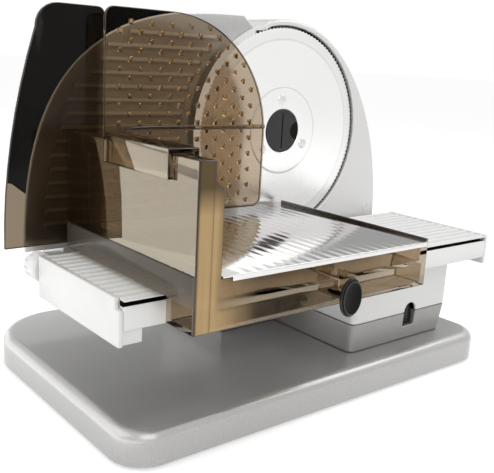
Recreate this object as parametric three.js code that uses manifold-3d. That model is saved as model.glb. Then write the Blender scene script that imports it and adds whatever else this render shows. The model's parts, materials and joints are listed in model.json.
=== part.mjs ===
// Electric food slicer. A motor housing holds a round upright blade, a carriage slides past the blade on a
// guide beam, a stop plate sets the slice, and a spiked pusher rides on the carriage's wall.
// Millimetres, +Z up. X crosses the blade and points at the carriage, Y runs along the carriage's stroke.
// The blade's cutting plane is X = 0 and its axis is Y = 0, until the last lines centre the whole part.
import * as THREE from 'three';
import { mergeVertices } from 'three/addons/utils/BufferGeometryUtils.js';
import Module from 'manifold-3d';

const wasm = await Module();
wasm.setup();

// Fits
const seatGap = 0.3; // between pieces that rest on each other
const slideGap = 0.6; // between pieces that slide or turn past each other

// Base and feet
const footHeight = 3;
const footRadius = 13;
const footInset = 44; // foot centre from the base's edges
const baseBack = -141;
const baseFront = 135;
const baseLeft = -239;
const baseRight = 172;
const baseHeight = 27;
const baseCorner = 28; // front corners, in plan
const baseBackCorner = 62;
const baseRound = 9; // rounding of the top edge
const baseWall = 4;
const baseRoof = 5;
const bottomThick = 2;

// Blade
const bladeRadius = 95;
const bladeHeight = 220.5; // axis above the table
const bladeTeeth = 72;
const toothDepth = 1.1;
const bladeEdge = 0.5; // thickness at the cutting edge
const bevelWidth = 11;
const bevelDepth = 1.2;
const hubRing = 40; // raised middle of the blade
const hubRise = 0.6;
const hubThick = 4;
const rivetCircle = 29.5;
const rivetHead = 4.5;
const rivetShank = 2.2;
const rivetCount = 3;
const rivetTurn = 95; // degrees from +Y to the first rivet
const lockRadius = 20.2; // blade lock in the blade's middle
const lockThick = 2.6;
const lockStem = 5;
const lockStemLength = 16;
const lockBarWidth = 5;
const lockRecess = 1.6;
const lockRim = 2; // round the lock's pockets
const lockPocketArc = 150; // degrees of each pocket

// Housing
const housingBack = -112;
const coverSeam = -60; // plane where the rear cover meets the motor housing
const faceX = 2.5; // front face round the blade
const housingWall = 3;
const housingRight = 140;
const towerLeft = -62;
const boxFront = 108.5; // foot of the housing, under the beam
const boxLeft = 4.2;
const boxCorner = 7;
const boxDraft = 4.5; // how far the lower housing draws in at its bottom
const seamHeight = 27; // lower housing, from the base's top
const archSpring = 5.5; // the arched outline starts this far under the blade
const hoodMargin = 7; // hood over the blade's top
const hoodEnd = -35; // left end of the hood
const hoodFoot = 80; // underside of the hood's end, over the blade's axis
const towerCorner = 42; // upper left corner of the tower, over the blade's axis
const recessMargin = 1.6; // running gap round the blade
const recessDepth = 12.5;
const coverRound = 14;
const faceChamfer = 1.5;

// Guide beam
const beamBack = 8;
const beamFront = 132.8;
const beamLeft = -247.2;
const beamRight = 161.6;
const beamTop = 130.2;
const beamDepth = 22.2; // side flanges, from the top
const beamWall = 2.5;
const ribPitch = 9.6;
const ribWidth = 3.2;
const ribHeight = 1;
const grooveHeight = 3; // slot under the top's front edge, for the runners
const grooveDepth = 6;
const groovePlate = 1.4; // top plate over the slot
const capPlate = 3.7;
const capBlock = 16;
const capLeftDepth = 33.2;
const capRightDepth = 29;
const capNotch = 8;

// Carriage
const carriageBack = 4.5; // blade side
const carriageFront = 181.7;
const carriageLeft = -223.2; // wall's outer face
const carriageRight = 1.2;
const carriageWall = 2.5;
const glideHeight = 3.8; // deck over the beam's top
const skirtDepth = 30.7;
const skirtBottom = 116.4;
const rimTop = 154.6;
const trayTop = 152.7;
const traySheet = 1.2;
const trayLip = 4;
const trayLipStart = -194.6;
const flutePitch = 9.5;
const fluteRise = 0.3;
const wallTop = 225.3;
const wallRib = 13.8; // narrow top of the wall
const wallWidth = 20.4;
const wallShoulder = 12.9; // shoulder's upper edge, from the wall's top
const shoulderDrop = 4.8;
const runnerLength = 20;
const runnerInset = 30; // runners from the carriage's ends
const railWidth = 3;
const glideWidth = 12;

// Thumb guard
const guardThick = 2.5;
const guardLeft = -272.7;
const guardRight = -191;
const guardTop = 317.5;
const guardBottom = 137.2;
const guardLean = 32; // how far the left edge curves in, from bottom to top
const guardCorner = 18; // outer upper corner
const guardInner = 6; // inner upper corner

// Carriage lock knob
const knobY = -85;
const knobZ = 120;
const knobHeight = 14.7; // half the oval grip's height
const knobOval = 0.73; // grip's width, as a share of its height
const knobThick = 4;
const knobStem = 2;
const knobStemLength = 20;
const bossSpan = 18;

// Pusher
const pusherX = 18.5; // blade side of the spiked plate
const pusherThick = 3;
const pusherLeft = -198.9;
const pusherRight = -39;
const pusherTop = 318;
const pusherCrown = 100; // size of the rounded upper right corner
const pusherCorner = 8;
const pusherLift = 2.3; // over the tray
const pinPitch = 18.55;
const pinRow = 6.96; // alternate rows are shifted by half a pitch
const pinInset = 14; // first pin from the plate's left edge
const pinLift = 6.5; // lowest row from the plate's lower edge
const pinWidth = 4.2;
const pinHeight = 4;
const pinMargin = 10; // kept clear along the right and upper edges
const pinCrownMargin = 2.5; // kept clear along the rounded corner
const hookBack = 75;
const hookFront = 156;
const hookWall = 4.2;
const hookRoof = 3.6;
const hookLeg = 14.9; // outer leg, from the wall's top
const webWidth = 6;
const webEnd = -44;
const webFlare = -150; // where the web starts to flare into the hook

// Stop plate and its adjuster
const stopFront = -1;
const stopThick = 3;
const stopGap = 5; // round the blade
const stopLeft = -254;
const stopTip = -50.5;
const stopTipAngle = 66.9; // blade-side corner of the tip, in degrees over the blade's axis
const stopTipDrop = 10; // the same corner, from the plate's top
const stopCrown = 124; // reach of the outline's crown, from the tip
const stopShoulder = 30; // fall of the outline's shoulder, from the plate's top
const stopBottom = 131;
const stopEdge = -75; // end of the plate under the blade
const stopRibPitch = 10.6;
const stopRibDrop = 22.8; // highest rib, from the plate's top
const stopRibHeight = 0.8;
const stopRibWidth = 5;
const stopRibMargin = 15;
const stopTravel = 15;
const rodRadius = 5;
const rodLength = 74;
const rodZ = 150;
const rodY = [-185, -110];
const rodBoss = 9;
const rodBossDepth = 8;
const armBack = -58;
const armLeft = -215;
const armBottom = 100;
const armTop = 127;
const lugThick = 7.7;
const lugWall = 3.5; // round the dial's shaft
const sleeveWall = 6; // round the guide rods
const sleeveClear = 1.5; // left between bosses and sleeves at the end of the travel
const dialY = -239;
const dialZ = 116.5;
const dialRadius = 11;
const dialBack = -16;
const dialFront = 4;
const dialShaft = 3;
const dialNotches = 12;
const notchRadius = 0.8;
const notchLength = 8;

// Drive
const gearModule = 1.5;
const gearTeeth = 36;
const gearX = -45; // middle plane of the worm gear
const gearWidth = 10;
const wormRadius = 8; // pitch radius
const wormLength = 30;
const toothShare = 0.42; // tooth and thread, as a share of the pitch
const spindleRadius = 8;
const spindleFlange = 16;
const spindleFlangeThick = 3.5;
const bushWall = 6;
const bushLength = 13;
const bridgeThick = 4;
const bridgeMargin = 6; // round the rear bush
const motorRadius = 28;
const motorLength = 88;
const motorTop = 165;
const motorShaftRadius = 4;
const bracketThick = 4;
const wormEndGap = 12; // from the worm's upper end to the shaft's tab
const fanRadius = 25;
const fanHeight = 8;
const fanBlades = 8;

// Switch and cord inlet
const switchY = 84;
const switchZ = 54.5;
const switchWidth = 16;
const switchHeight = 23;
const switchInset = 4.5; // button's face, from the housing's face
const switchTravel = 3;
const switchButtonDepth = 7;
const switchBodyWall = 3;
const glandY = 100;
const glandZ = 75;
const glandRadius = 8;
const glandBore = 3.6;
const glandLength = 12;

// Sizes worked out from those above
const baseTop = footHeight + baseHeight;
const seamZ = baseTop + seamHeight;
const footTop = beamTop - beamDepth - seatGap;
const archBaseZ = bladeHeight - bladeRadius - archSpring;
const archRise = bladeHeight + bladeRadius + hoodMargin - archBaseZ;
const recessRadius = bladeRadius + recessMargin;
const recessFloor = faceX - recessDepth;
const frontWallBack = recessFloor - housingWall;
const deckBottom = beamTop + glideHeight;
const deckTop = deckBottom + carriageWall;
const trayBottom = trayTop - traySheet;
const railTop = trayBottom - seatGap;
const skirtBack = carriageFront - skirtDepth;
const wallStart = carriageBack + guardThick + seatGap;
const hookLeft = carriageLeft - slideGap - hookWall;
const hookRight = carriageLeft + wallRib + slideGap + hookWall;
const hookTop = wallTop + slideGap + hookRoof;
const gearRadius = (gearModule * gearTeeth) / 2;
const wormLead = Math.PI * gearModule;
const wormY = gearRadius + wormRadius;
const bladeBack = -bladeEdge;
const hubBack = bladeBack - seatGap - hubThick;
const stopRadius = bladeRadius + stopGap;
const stopTop = bladeHeight + stopRadius * Math.sin((stopTipAngle * Math.PI) / 180) + stopTipDrop;
const armFront = dialBack - slideGap;

// Finishes
const finish = (color, roughness, metalness = 0) =>
  new THREE.MeshStandardMaterial({ color, roughness, metalness });
const smoked = () =>
  new THREE.MeshStandardMaterial({ color: 0x6b4f35, roughness: 0.12, transparent: true, opacity: 0.72 });
const silverPaint = finish(0xb4b2af, 0.38, 0.5);
const palePaint = finish(0xdddcda, 0.4, 0.2);
const greyPaint = finish(0x94928e, 0.4, 0.4);
const whitePlastic = finish(0xf0f0ee, 0.45);
const steel = finish(0xd5d5d4, 0.22, 1);
const brightSteel = finish(0xc9c7c4, 0.18, 1);
const blackPlastic = finish(0x1d1d1d, 0.45);
const rubber = finish(0x202020, 0.9);
const gearPlastic = finish(0xe9e4d2, 0.5);
const bronze = finish(0xa9814a, 0.4, 1);

// Forms drawn in their own plane and turned to run along X or Y
const axisX = new THREE.Vector3(1, 0, 0);
const axisY = new THREE.Vector3(0, 1, 0);
const axisZ = new THREE.Vector3(0, 0, 1);
const yzPlane = new THREE.Matrix4().makeBasis(axisY, axisZ, axisX);
const zxPlane = new THREE.Matrix4().makeBasis(axisZ, axisX, axisY);
const uprightTurn = new THREE.Matrix4().makeBasis(axisX, axisZ, axisY.clone().negate());

const shapeOf = (points) => new THREE.Shape(points.map(([a, b]) => new THREE.Vector2(a, b)));

function extrude(shape, from, to, plane, steps = 12) {
  const form = new THREE.ExtrudeGeometry(shape, {
    depth: to - from,
    bevelEnabled: false,
    curveSegments: steps,
  });
  form.translate(0, 0, from);
  return plane ? form.applyMatrix4(plane) : form;
}

// A (y, z) outline carried along X, an (x, z) outline along Y and an (x, y) outline along Z.
const alongX = (points, from, to) => extrude(shapeOf(points), from, to, yzPlane);
const alongY = (points, from, to) => extrude(shapeOf(points.map(([x, z]) => [z, x])), from, to, zxPlane);
const alongZ = (points, from, to) => extrude(shapeOf(points), from, to);

// A profile of [radius, height] points turned about X or about Z.
function turned(profile, steps, plane) {
  const points = profile.map(([radius, height]) => new THREE.Vector2(radius, height));
  return new THREE.LatheGeometry(points, steps).applyMatrix4(plane);
}
const turnedX = (profile, steps = 24) => turned(profile, steps, zxPlane);
const turnedZ = (profile, steps = 24) => turned(profile, steps, uprightTurn);

const rod = (radius, from, to) => [[0, from], [radius, from], [radius, to], [0, to]];
const ring = (bore, radius, from, to) =>
  [[bore, from], [radius, from], [radius, to], [bore, to], [bore, from]];

function block(x0, x1, y0, y1, z0, z1) {
  const form = new THREE.BoxGeometry(x1 - x0, y1 - y0, z1 - z0);
  return form.translate((x0 + x1) / 2, (y0 + y1) / 2, (z0 + z1) / 2);
}

// Only places and triangles, with shared corners merged and faces pointing out.
function closed(form) {
  const bare = new THREE.BufferGeometry();
  bare.setAttribute('position', form.getAttribute('position').clone());
  if (form.index) bare.setIndex(form.index.clone());
  const merged = mergeVertices(bare, 1e-4);
  const corners = merged.getAttribute('position');
  const order = Array.from(merged.index.array);
  const [a, b, c] = [new THREE.Vector3(), new THREE.Vector3(), new THREE.Vector3()];
  const kept = [];
  let volume = 0;
  for (let i = 0; i < order.length; i += 3) {
    const [p, q, r] = order.slice(i, i + 3);
    if (p === q || q === r || r === p) continue;
    kept.push(p, q, r);
    a.fromBufferAttribute(corners, p);
    b.fromBufferAttribute(corners, q);
    c.fromBufferAttribute(corners, r);
    volume += a.dot(b.cross(c));
  }
  merged.setIndex(volume < 0 ? kept.reverse() : kept);
  return merged;
}

// A skin through outlines of equal count, one for each place along an axis, with flat ends.
function loft(sections, place) {
  const count = sections[0].points.length;
  const corners = sections.flatMap(({ at, points }) => points.map(([a, b]) => place(a, b, at)));
  const order = [];
  for (let s = 0; s + 1 < sections.length; s += 1) {
    for (let i = 0; i < count; i += 1) {
      const here = s * count + i;
      const next = s * count + ((i + 1) % count);
      order.push(here, next, next + count, here, next + count, here + count);
    }
  }
  const outline = (points) => points.map(([a, b]) => new THREE.Vector2(a, b));
  const last = (sections.length - 1) * count;
  for (const [p, q, r] of THREE.ShapeUtils.triangulateShape(outline(sections[0].points), [])) {
    order.push(r, q, p);
  }
  for (const [p, q, r] of THREE.ShapeUtils.triangulateShape(outline(sections.at(-1).points), [])) {
    order.push(last + p, last + q, last + r);
  }
  const form = new THREE.BufferGeometry().setFromPoints(corners);
  form.setIndex(order);
  return closed(form);
}
const loftX = (sections) => loft(sections, (y, z, x) => new THREE.Vector3(x, y, z));
const loftZ = (sections) => loft(sections, (x, y, z) => new THREE.Vector3(x, y, z));

function toSolid(form) {
  const mesh = closed(form);
  const vertProperties = Float32Array.from(mesh.getAttribute('position').array);
  const triVerts = Uint32Array.from(mesh.index.array);
  return new wasm.Manifold(new wasm.Mesh({ numProp: 3, vertProperties, triVerts }));
}

function fromSolid(solid) {
  const mesh = solid.getMesh();
  const form = new THREE.BufferGeometry();
  form.setAttribute('position', new THREE.BufferAttribute(mesh.vertProperties, 3));
  form.setIndex(new THREE.BufferAttribute(mesh.triVerts, 1));
  return form;
}

const join = (...forms) => fromSolid(forms.map(toSolid).reduce((sum, form) => sum.add(form)));
const cut = (body, ...tools) =>
  fromSolid(tools.map(toSolid).reduce((rest, tool) => rest.subtract(tool), toSolid(body)));

const degrees = (angle) => (angle * Math.PI) / 180;

function arcPoints(a, b, radiusA, radiusB, from, to, steps) {
  return Array.from({ length: steps + 1 }, (_, i) => {
    const turn = degrees(from + ((to - from) * i) / steps);
    return [a + radiusA * Math.cos(turn), b + radiusB * Math.sin(turn)];
  });
}

function roundedRectangle(a0, a1, b0, b1, radius, steps = 6) {
  return [
    ...arcPoints(a1 - radius, b0 + radius, radius, radius, -90, 0, steps),
    ...arcPoints(a1 - radius, b1 - radius, radius, radius, 0, 90, steps),
    ...arcPoints(a0 + radius, b1 - radius, radius, radius, 90, 180, steps),
    ...arcPoints(a0 + radius, b0 + radius, radius, radius, 180, 270, steps),
  ];
}

const slicer = new THREE.Group();
const group = (x = 0, y = 0, z = 0, parent = slicer) => {
  const made = new THREE.Group();
  made.position.set(x, y, z);
  parent.add(made);
  return made;
};

function piece(name, form, material, parent = slicer) {
  const geometry = closed(form);
  geometry.computeVertexNormals();
  const mesh = new THREE.Mesh(geometry, material);
  mesh.name = name;
  parent.add(mesh);
}

// Base: a moulded shell with a rounded top edge, closed below by a plate that carries the feet.
function basePlan(inset) {
  const [back, front] = [baseBack + inset, baseFront - inset];
  const [left, right] = [baseLeft + inset, baseRight - inset];
  const [small, large] = [baseCorner - inset, baseBackCorner - inset];
  return [
    ...arcPoints(front - small, left + small, small, small, -90, 0, 6),
    ...arcPoints(front - small, right - small, small, small, 0, 90, 6),
    ...arcPoints(back + large, right - large, large, large, 90, 180, 8),
    ...arcPoints(back + large, left + large, large, large, 180, 270, 8),
  ];
}

function basePlate() {
  const steps = 4;
  const roundedTop = arcPoints(baseRound, baseTop - baseRound, baseRound, baseRound, 180, 90, steps);
  const sections = [{ at: footHeight, points: basePlan(0) }];
  for (const [inset, at] of roundedTop) sections.push({ at, points: basePlan(inset) });
  const hollow = alongZ(basePlan(baseWall), footHeight - 1, baseTop - baseRoof);
  return cut(loftZ(sections), hollow);
}

const base = group();
piece('base_plate', basePlate(), silverPaint, base);
const bottomTop = footHeight + bottomThick;
piece('base_bottom', alongZ(basePlan(baseWall + seatGap), footHeight, bottomTop), greyPaint, base);

const footPlaces = [
  ['foot_front_left', baseFront - footInset, baseLeft + footInset],
  ['foot_front_right', baseFront - footInset, baseRight - footInset],
  ['foot_back_left', baseBack + footInset, baseLeft + footInset],
  ['foot_back_right', baseBack + footInset, baseRight - footInset],
];
const footChamfer = 1;
const footTopZ = footHeight - seatGap;
for (const [name, x, y] of footPlaces) {
  const side = [[footRadius - footChamfer, 0], [footRadius, footChamfer], [footRadius, footTopZ]];
  const profile = [[0, 0], ...side, [0, footTopZ]];
  piece(name, turnedZ(profile, 16), rubber, group(x, y, 0, base));
}

// Housing plan below the seam: the tower's width at the back, and a narrower foot under the beam.
function housingPlan(inset) {
  const [left, right] = [towerLeft + inset, housingRight - inset];
  const radius = boxCorner;
  return [
    [housingBack + inset, left],
    [faceX - inset, left],
    [faceX - inset, boxLeft + inset],
    ...arcPoints(boxFront - inset - radius, boxLeft + inset + radius, radius, radius, -90, 0, 5),
    ...arcPoints(boxFront - inset - radius, right - radius, radius, radius, 0, 90, 5),
    [housingBack + inset, right],
  ];
}

// The switch's opening: a slot with a round top.
function switchOutline(grow) {
  const half = switchWidth / 2 + grow;
  const crown = switchZ + switchHeight / 2 - switchWidth / 2;
  const foot = switchZ - switchHeight / 2 - grow;
  const arch = arcPoints(switchY, crown, half, half, 0, 180, 10);
  return [[switchY - half, foot], [switchY + half, foot], ...arch];
}
const switchWindow = alongX(switchOutline(0), boxFront - 2 * housingWall, boxFront + 1);

function lowerHousing() {
  const drawnIn = housingPlan(0).map(([x, y]) => [
    x > faceX ? x - boxDraft / 3 : x,
    y > boxLeft + boxCorner ? y - boxDraft : y,
  ]);
  const outside = loftZ([
    { at: baseTop + seatGap, points: drawnIn },
    { at: seamZ - seatGap / 2, points: housingPlan(0) },
  ]);
  const hollow = alongZ(housingPlan(housingWall + boxDraft), baseTop + seatGap + housingWall, seamZ + 1);
  return cut(outside, hollow, alongX(switchOutline(0), boxFront - 3 * housingWall - boxDraft, boxFront + 1));
}

const housing = group();
piece('lower_housing', lowerHousing(), greyPaint, housing);

// Upright outline of the motor housing: a quarter ellipse that ends in the hood over the blade.
function archOutline(inset, bottom) {
  const [halfWidth, rise] = [housingRight - inset, archRise - inset];
  const end = (Math.acos((hoodEnd + inset) / halfWidth) * 180) / Math.PI;
  return [
    [towerLeft + inset, bottom],
    [housingRight - inset, bottom],
    ...arcPoints(0, archBaseZ, halfWidth, rise, 0, end, 22),
    [hoodEnd + inset, bladeHeight + hoodFoot],
    [towerLeft + inset, bladeHeight + towerCorner],
  ];
}

const housingBottom = seamZ + seatGap / 2;
const bushBossWall = 3.5;
const bushRadius = spindleRadius + seatGap + bushWall;
const bushFront = frontWallBack - seatGap;

function motorHousing() {
  const tower = loftX([
    { at: coverSeam, points: archOutline(0, housingBottom) },
    { at: faceX - faceChamfer, points: archOutline(0, housingBottom) },
    { at: faceX, points: archOutline(faceChamfer, housingBottom) },
  ]);
  const footPlan = housingPlan(0).map(([x, y]) => [Math.max(x, recessFloor), Math.max(y, boxLeft)]);
  const foot = alongZ(footPlan.filter(([, y], i) => i > 1 || y > boxLeft), housingBottom, footTop);
  const boss = turnedX(rod(bushRadius + seatGap + bushBossWall, bushFront - bushLength, recessFloor));
  const hollow = alongX(archOutline(housingWall, housingBottom - 1), coverSeam - 1, frontWallBack);
  const footHollow = block(
    frontWallBack - 1,
    boxFront - housingWall,
    boxLeft + housingWall,
    housingRight - housingWall,
    housingBottom - 1,
    footTop - housingWall,
  );
  const recess = turnedX(rod(recessRadius, recessFloor, faceX + 1), 60);
  const bushSeat = turnedX(rod(bushRadius + seatGap, bushFront - bushLength - 1, frontWallBack));
  const spindleHole = turnedX(rod(spindleRadius + slideGap, coverSeam, faceX));
  for (const form of [boss, recess, bushSeat, spindleHole]) form.translate(0, 0, bladeHeight);
  const shell = join(cut(join(tower, foot), hollow, footHollow, recess), boss);
  return cut(shell, bushSeat, spindleHole, switchWindow);
}
piece('motor_housing', motorHousing(), palePaint, housing);

function rearCover() {
  const steps = 4;
  const sections = [{ at: coverSeam - seatGap, points: archOutline(0, housingBottom) }];
  for (const [inset, depth] of arcPoints(coverRound, coverRound, coverRound, coverRound, 180, 270, steps)) {
    sections.push({ at: housingBack + depth, points: archOutline(inset, housingBottom) });
  }
  const hollowBack = housingBack + housingWall;
  const hollow = loftX([
    { at: coverSeam, points: archOutline(housingWall, housingBottom - 1) },
    { at: housingBack + coverRound, points: archOutline(housingWall, housingBottom - 1) },
    { at: hollowBack, points: archOutline(coverRound, housingBottom - 1) },
  ]);
  const glandHole = turnedX(rod(glandRadius + seatGap, housingBack - 1, hollowBack + 1));
  glandHole.translate(0, glandY, glandZ);
  return cut(loftX(sections), hollow, glandHole);
}
piece('rear_cover', rearCover(), palePaint, housing);

const glandFlange = 3;
const glandProfile = [
  [glandBore, housingBack - glandFlange],
  [glandRadius + glandFlange - 1, housingBack - glandFlange],
  [glandRadius + glandFlange, housingBack - seatGap],
  [glandRadius, housingBack - seatGap],
  [glandRadius, housingBack + glandLength],
  [glandBore, housingBack + glandLength],
  [glandBore, housingBack - glandFlange],
];
piece('cord_gland', turnedX(glandProfile, 16), blackPlastic, group(0, glandY, glandZ, housing));

// Guide beam: a ribbed channel, open below, with a slot under its front edge for the runners.
function beamProfile() {
  const flatTop = beamTop - ribHeight;
  const flange = beamTop - beamDepth;
  const ribs = [];
  const count = Math.floor((beamFront - beamBack - ribPitch) / ribPitch) + 1;
  const first = (beamBack + beamFront) / 2 - ((count - 1) * ribPitch) / 2;
  for (let i = 0; i < count; i += 1) {
    const x = first + i * ribPitch;
    const [low, high] = [x - ribWidth / 2, x + ribWidth / 2];
    ribs.push([low, flatTop], [low + ribHeight, beamTop], [high - ribHeight, beamTop], [high, flatTop]);
  }
  const grooveTop = flatTop - groovePlate;
  const grooveBottom = grooveTop - grooveHeight;
  const grooveBack = beamFront - grooveDepth;
  return [
    [beamBack, flange],
    [beamBack, flatTop],
    ...ribs,
    [beamFront, flatTop],
    [beamFront, grooveTop],
    [grooveBack, grooveTop],
    [grooveBack, grooveBottom],
    [beamFront, grooveBottom],
    [beamFront, flange],
    [beamFront - beamWall, flange],
    [beamFront - beamWall, grooveBottom - beamWall],
    [grooveBack - beamWall, grooveBottom - beamWall],
    [grooveBack - beamWall, flatTop - beamWall],
    [beamBack + beamWall, flatTop - beamWall],
    [beamBack + beamWall, flange],
  ];
}

const beam = group();
const beamStart = beamLeft + capPlate + seatGap;
const beamEnd = beamRight - capPlate - seatGap;
piece('guide_beam', alongY(beamProfile(), beamStart, beamEnd), whitePlastic, beam);

function beamCapLeft() {
  const bottom = beamTop - capLeftDepth;
  const plate = block(beamBack, beamFront, beamLeft, beamLeft + capPlate, bottom, beamTop);
  const heel = block(
    beamBack + beamWall,
    beamFront - beamWall,
    beamLeft + capPlate - 1,
    beamLeft + capPlate + capBlock,
    bottom,
    beamTop - beamDepth - seatGap,
  );
  const notch = block(
    beamFront - grooveDepth,
    beamFront + 1,
    beamLeft - 1,
    beamLeft + capPlate + 1,
    beamTop - capNotch,
    beamTop + 1,
  );
  return cut(join(plate, heel), notch);
}
piece('beam_cap_left', beamCapLeft(), whitePlastic, beam);
const capRight = roundedRectangle(beamBack, beamFront, beamTop - capRightDepth, beamTop, 1.5, 3);
piece('beam_cap_right', alongY(capRight, beamRight - capPlate, beamRight), whitePlastic, beam);

// Blade: a dished steel disc with a bevelled, toothed edge, riveted to a moulded hub.
const bladeSet = group(0, 0, bladeHeight);
const bladeFront = bevelDepth + hubRise;
const rivetAngles = Array.from({ length: rivetCount }, (_, i) => degrees(rivetTurn + (360 / rivetCount) * i));
const atRivet = (form, angle) =>
  form.translate(0, rivetCircle * Math.cos(angle), rivetCircle * Math.sin(angle));

function blade() {
  const profile = [
    [lockRadius + slideGap, bladeBack],
    [bladeRadius, bladeBack],
    [bladeRadius, 0],
    [bladeRadius - bevelWidth, bevelDepth],
    [hubRing + hubRise, bevelDepth],
    [hubRing, bladeFront],
    [lockRadius + slideGap, bladeFront],
    [lockRadius + slideGap, bladeBack],
  ];
  const disc = turnedX(profile, 2 * bladeTeeth);
  const corners = disc.getAttribute('position');
  const rows = profile.length;
  for (let i = 0; i < corners.count; i += 1) {
    const betweenTeeth = Math.floor(i / rows) % 2 === 1;
    const onEdge = Math.hypot(corners.getY(i), corners.getZ(i)) > bladeRadius - toothDepth;
    if (!betweenTeeth || !onEdge) continue;
    const shrink = 1 - toothDepth / bladeRadius;
    corners.setXYZ(i, corners.getX(i), corners.getY(i) * shrink, corners.getZ(i) * shrink);
  }
  const holes = rivetAngles.map((angle) =>
    atRivet(turnedX(rod(rivetShank + seatGap, bladeBack - 1, bladeFront + 1), 12), angle),
  );
  return cut(disc, ...holes);
}
piece('blade', blade(), steel, bladeSet);

function bladeHub() {
  const disc = turnedX(ring(spindleRadius, hubRing - 2, hubBack, bladeBack - seatGap), 40);
  const holes = rivetAngles.map((angle) =>
    atRivet(turnedX(rod(rivetShank + seatGap, hubBack - 1, bladeBack), 12), angle),
  );
  return cut(disc, ...holes);
}
piece('blade_hub', bladeHub(), gearPlastic, bladeSet);

const rivetRise = 0.7;
rivetAngles.forEach((angle, i) => {
  const headBottom = bladeFront + seatGap;
  const profile = [
    [0, hubBack],
    [rivetShank, hubBack],
    [rivetShank, headBottom],
    [rivetHead, headBottom],
    [rivetHead - rivetRise, headBottom + rivetRise],
    [0, headBottom + rivetRise],
  ];
  piece(`blade_rivet_${i + 1}`, atRivet(turnedX(profile, 12), angle), steel, bladeSet);
});

function bladeLock() {
  const back = bladeFront - lockThick;
  const knob = turnedX([[0, back], [lockRadius, back], [lockRadius, bladeFront], [0, bladeFront]], 40);
  const pocketFrom = bladeFront - lockRecess;
  const pocketEdge = lockRadius - lockRim;
  const [pocketEnd, pocketStart] = [180 - lockPocketArc / 2, 180 + lockPocketArc / 2];
  const sides = [-1, 1].map((side) => {
    const arc = arcPoints(0, 0, pocketEdge, pocketEdge, pocketEnd, pocketStart, 12);
    const edge = arc.map(([y, z]) => [y * -side, z]);
    const pocket = edge.filter(([y]) => y * side > lockBarWidth / 2);
    return alongX(side < 0 ? pocket : pocket.reverse(), pocketFrom, bladeFront + 1);
  });
  const stem = turnedX(rod(lockStem, bladeFront - lockStemLength, back + 1), 20);
  return join(cut(knob, ...sides), stem);
}
piece('blade_lock', bladeLock(), blackPlastic, bladeSet);

// Spindle: turns in two bushes, drives the hub with its flange and takes the lock's stem in its front end.
const spindleFront = hubBack - seatGap;
const bridgeFront = gearX - wormRadius - gearModule - 2 * slideGap;
const bridgeBack = bridgeFront - bridgeThick;
const spindleBack = bridgeBack - 2;
const socketBack = bladeFront - lockStemLength - 1;
const spindleProfile = [
  [0, spindleBack],
  [spindleRadius, spindleBack],
  [spindleRadius, spindleFront - spindleFlangeThick],
  [spindleFlange, spindleFront - spindleFlangeThick],
  [spindleFlange, spindleFront],
  [lockStem + seatGap, spindleFront],
  [lockStem + seatGap, socketBack],
  [0, socketBack],
];
piece('spindle', turnedX(spindleProfile), brightSteel, bladeSet);

// Worm gear: straight-sided teeth, twisted to the worm's lead.
const addendum = gearModule;
const dedendum = 1.25 * gearModule;
function wormGear() {
  const points = [];
  const pitchAngle = 360 / gearTeeth;
  const shares = [[toothShare * 1.4, -dedendum], [toothShare * 0.6, addendum]];
  for (let i = 0; i < gearTeeth; i += 1) {
    const [root, tip] = shares.map(([share, height]) => [(share * pitchAngle) / 2, gearRadius + height]);
    const flanks = [[-root[0], root[1]], [-tip[0], tip[1]], [tip[0], tip[1]], [root[0], root[1]]];
    for (const [turn, radius] of flanks) {
      const angle = degrees(i * pitchAngle + turn);
      points.push([radius * Math.cos(angle), radius * Math.sin(angle)]);
    }
  }
  const twist = (along) => ((wormLead / (2 * Math.PI * wormRadius)) * along) / gearRadius;
  const turnedBy = (along) =>
    points.map(([y, z]) => {
      const [c, s] = [Math.cos(twist(along)), Math.sin(twist(along))];
      return [y * c - z * s, y * s + z * c];
    });
  const half = gearWidth / 2;
  const wheel = loftX([-half, half].map((along) => ({ at: gearX + along, points: turnedBy(along) })));
  return cut(wheel, turnedX(rod(spindleRadius + seatGap, gearX - gearWidth, gearX + gearWidth)));
}
piece('worm_gear', wormGear(), gearPlastic, bladeSet);

piece(
  'front_bush',
  turnedX(ring(spindleRadius + seatGap, bushRadius, bushFront - bushLength, bushFront))
    .translate(0, 0, bladeHeight),
  bronze,
  housing,
);
piece(
  'rear_bush',
  turnedX(ring(spindleRadius + seatGap, bushRadius, bridgeBack, bridgeFront)).translate(0, 0, bladeHeight),
  bronze,
  housing,
);

// Bridge behind the gear: carries the rear bush, and over it the upper end of the motor's shaft.
const towerInside = towerLeft + housingWall + seatGap;
const armHalf = 10;
const shaftTabZ = bladeHeight + wormLength / 2 + wormEndGap;
const motorShaftTop = shaftTabZ + bracketThick + 2;
function gearBridge() {
  const reach = wormY + 3 * armHalf;
  const strap = block(
    bridgeBack,
    bridgeFront,
    towerInside,
    reach,
    bladeHeight - bushRadius - bridgeMargin,
    bladeHeight + bushRadius + bridgeMargin,
  );
  const post = block(
    bridgeBack,
    bridgeFront,
    wormY - armHalf,
    wormY + armHalf,
    bladeHeight,
    shaftTabZ + bracketThick,
  );
  const tab = block(
    bridgeBack,
    gearX + armHalf,
    wormY - armHalf,
    wormY + armHalf,
    shaftTabZ,
    shaftTabZ + bracketThick,
  );
  const bushHole = turnedX(rod(bushRadius + seatGap, bridgeBack - 1, bridgeFront + 1));
  bushHole.translate(0, 0, bladeHeight);
  const shaftHole = turnedZ(rod(motorShaftRadius + seatGap, shaftTabZ - 1, shaftTabZ + bracketThick + 1), 20);
  return cut(join(strap, post, tab), bushHole, shaftHole.translate(gearX, wormY, 0));
}
piece('gear_bridge', gearBridge(), greyPaint, housing);

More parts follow.
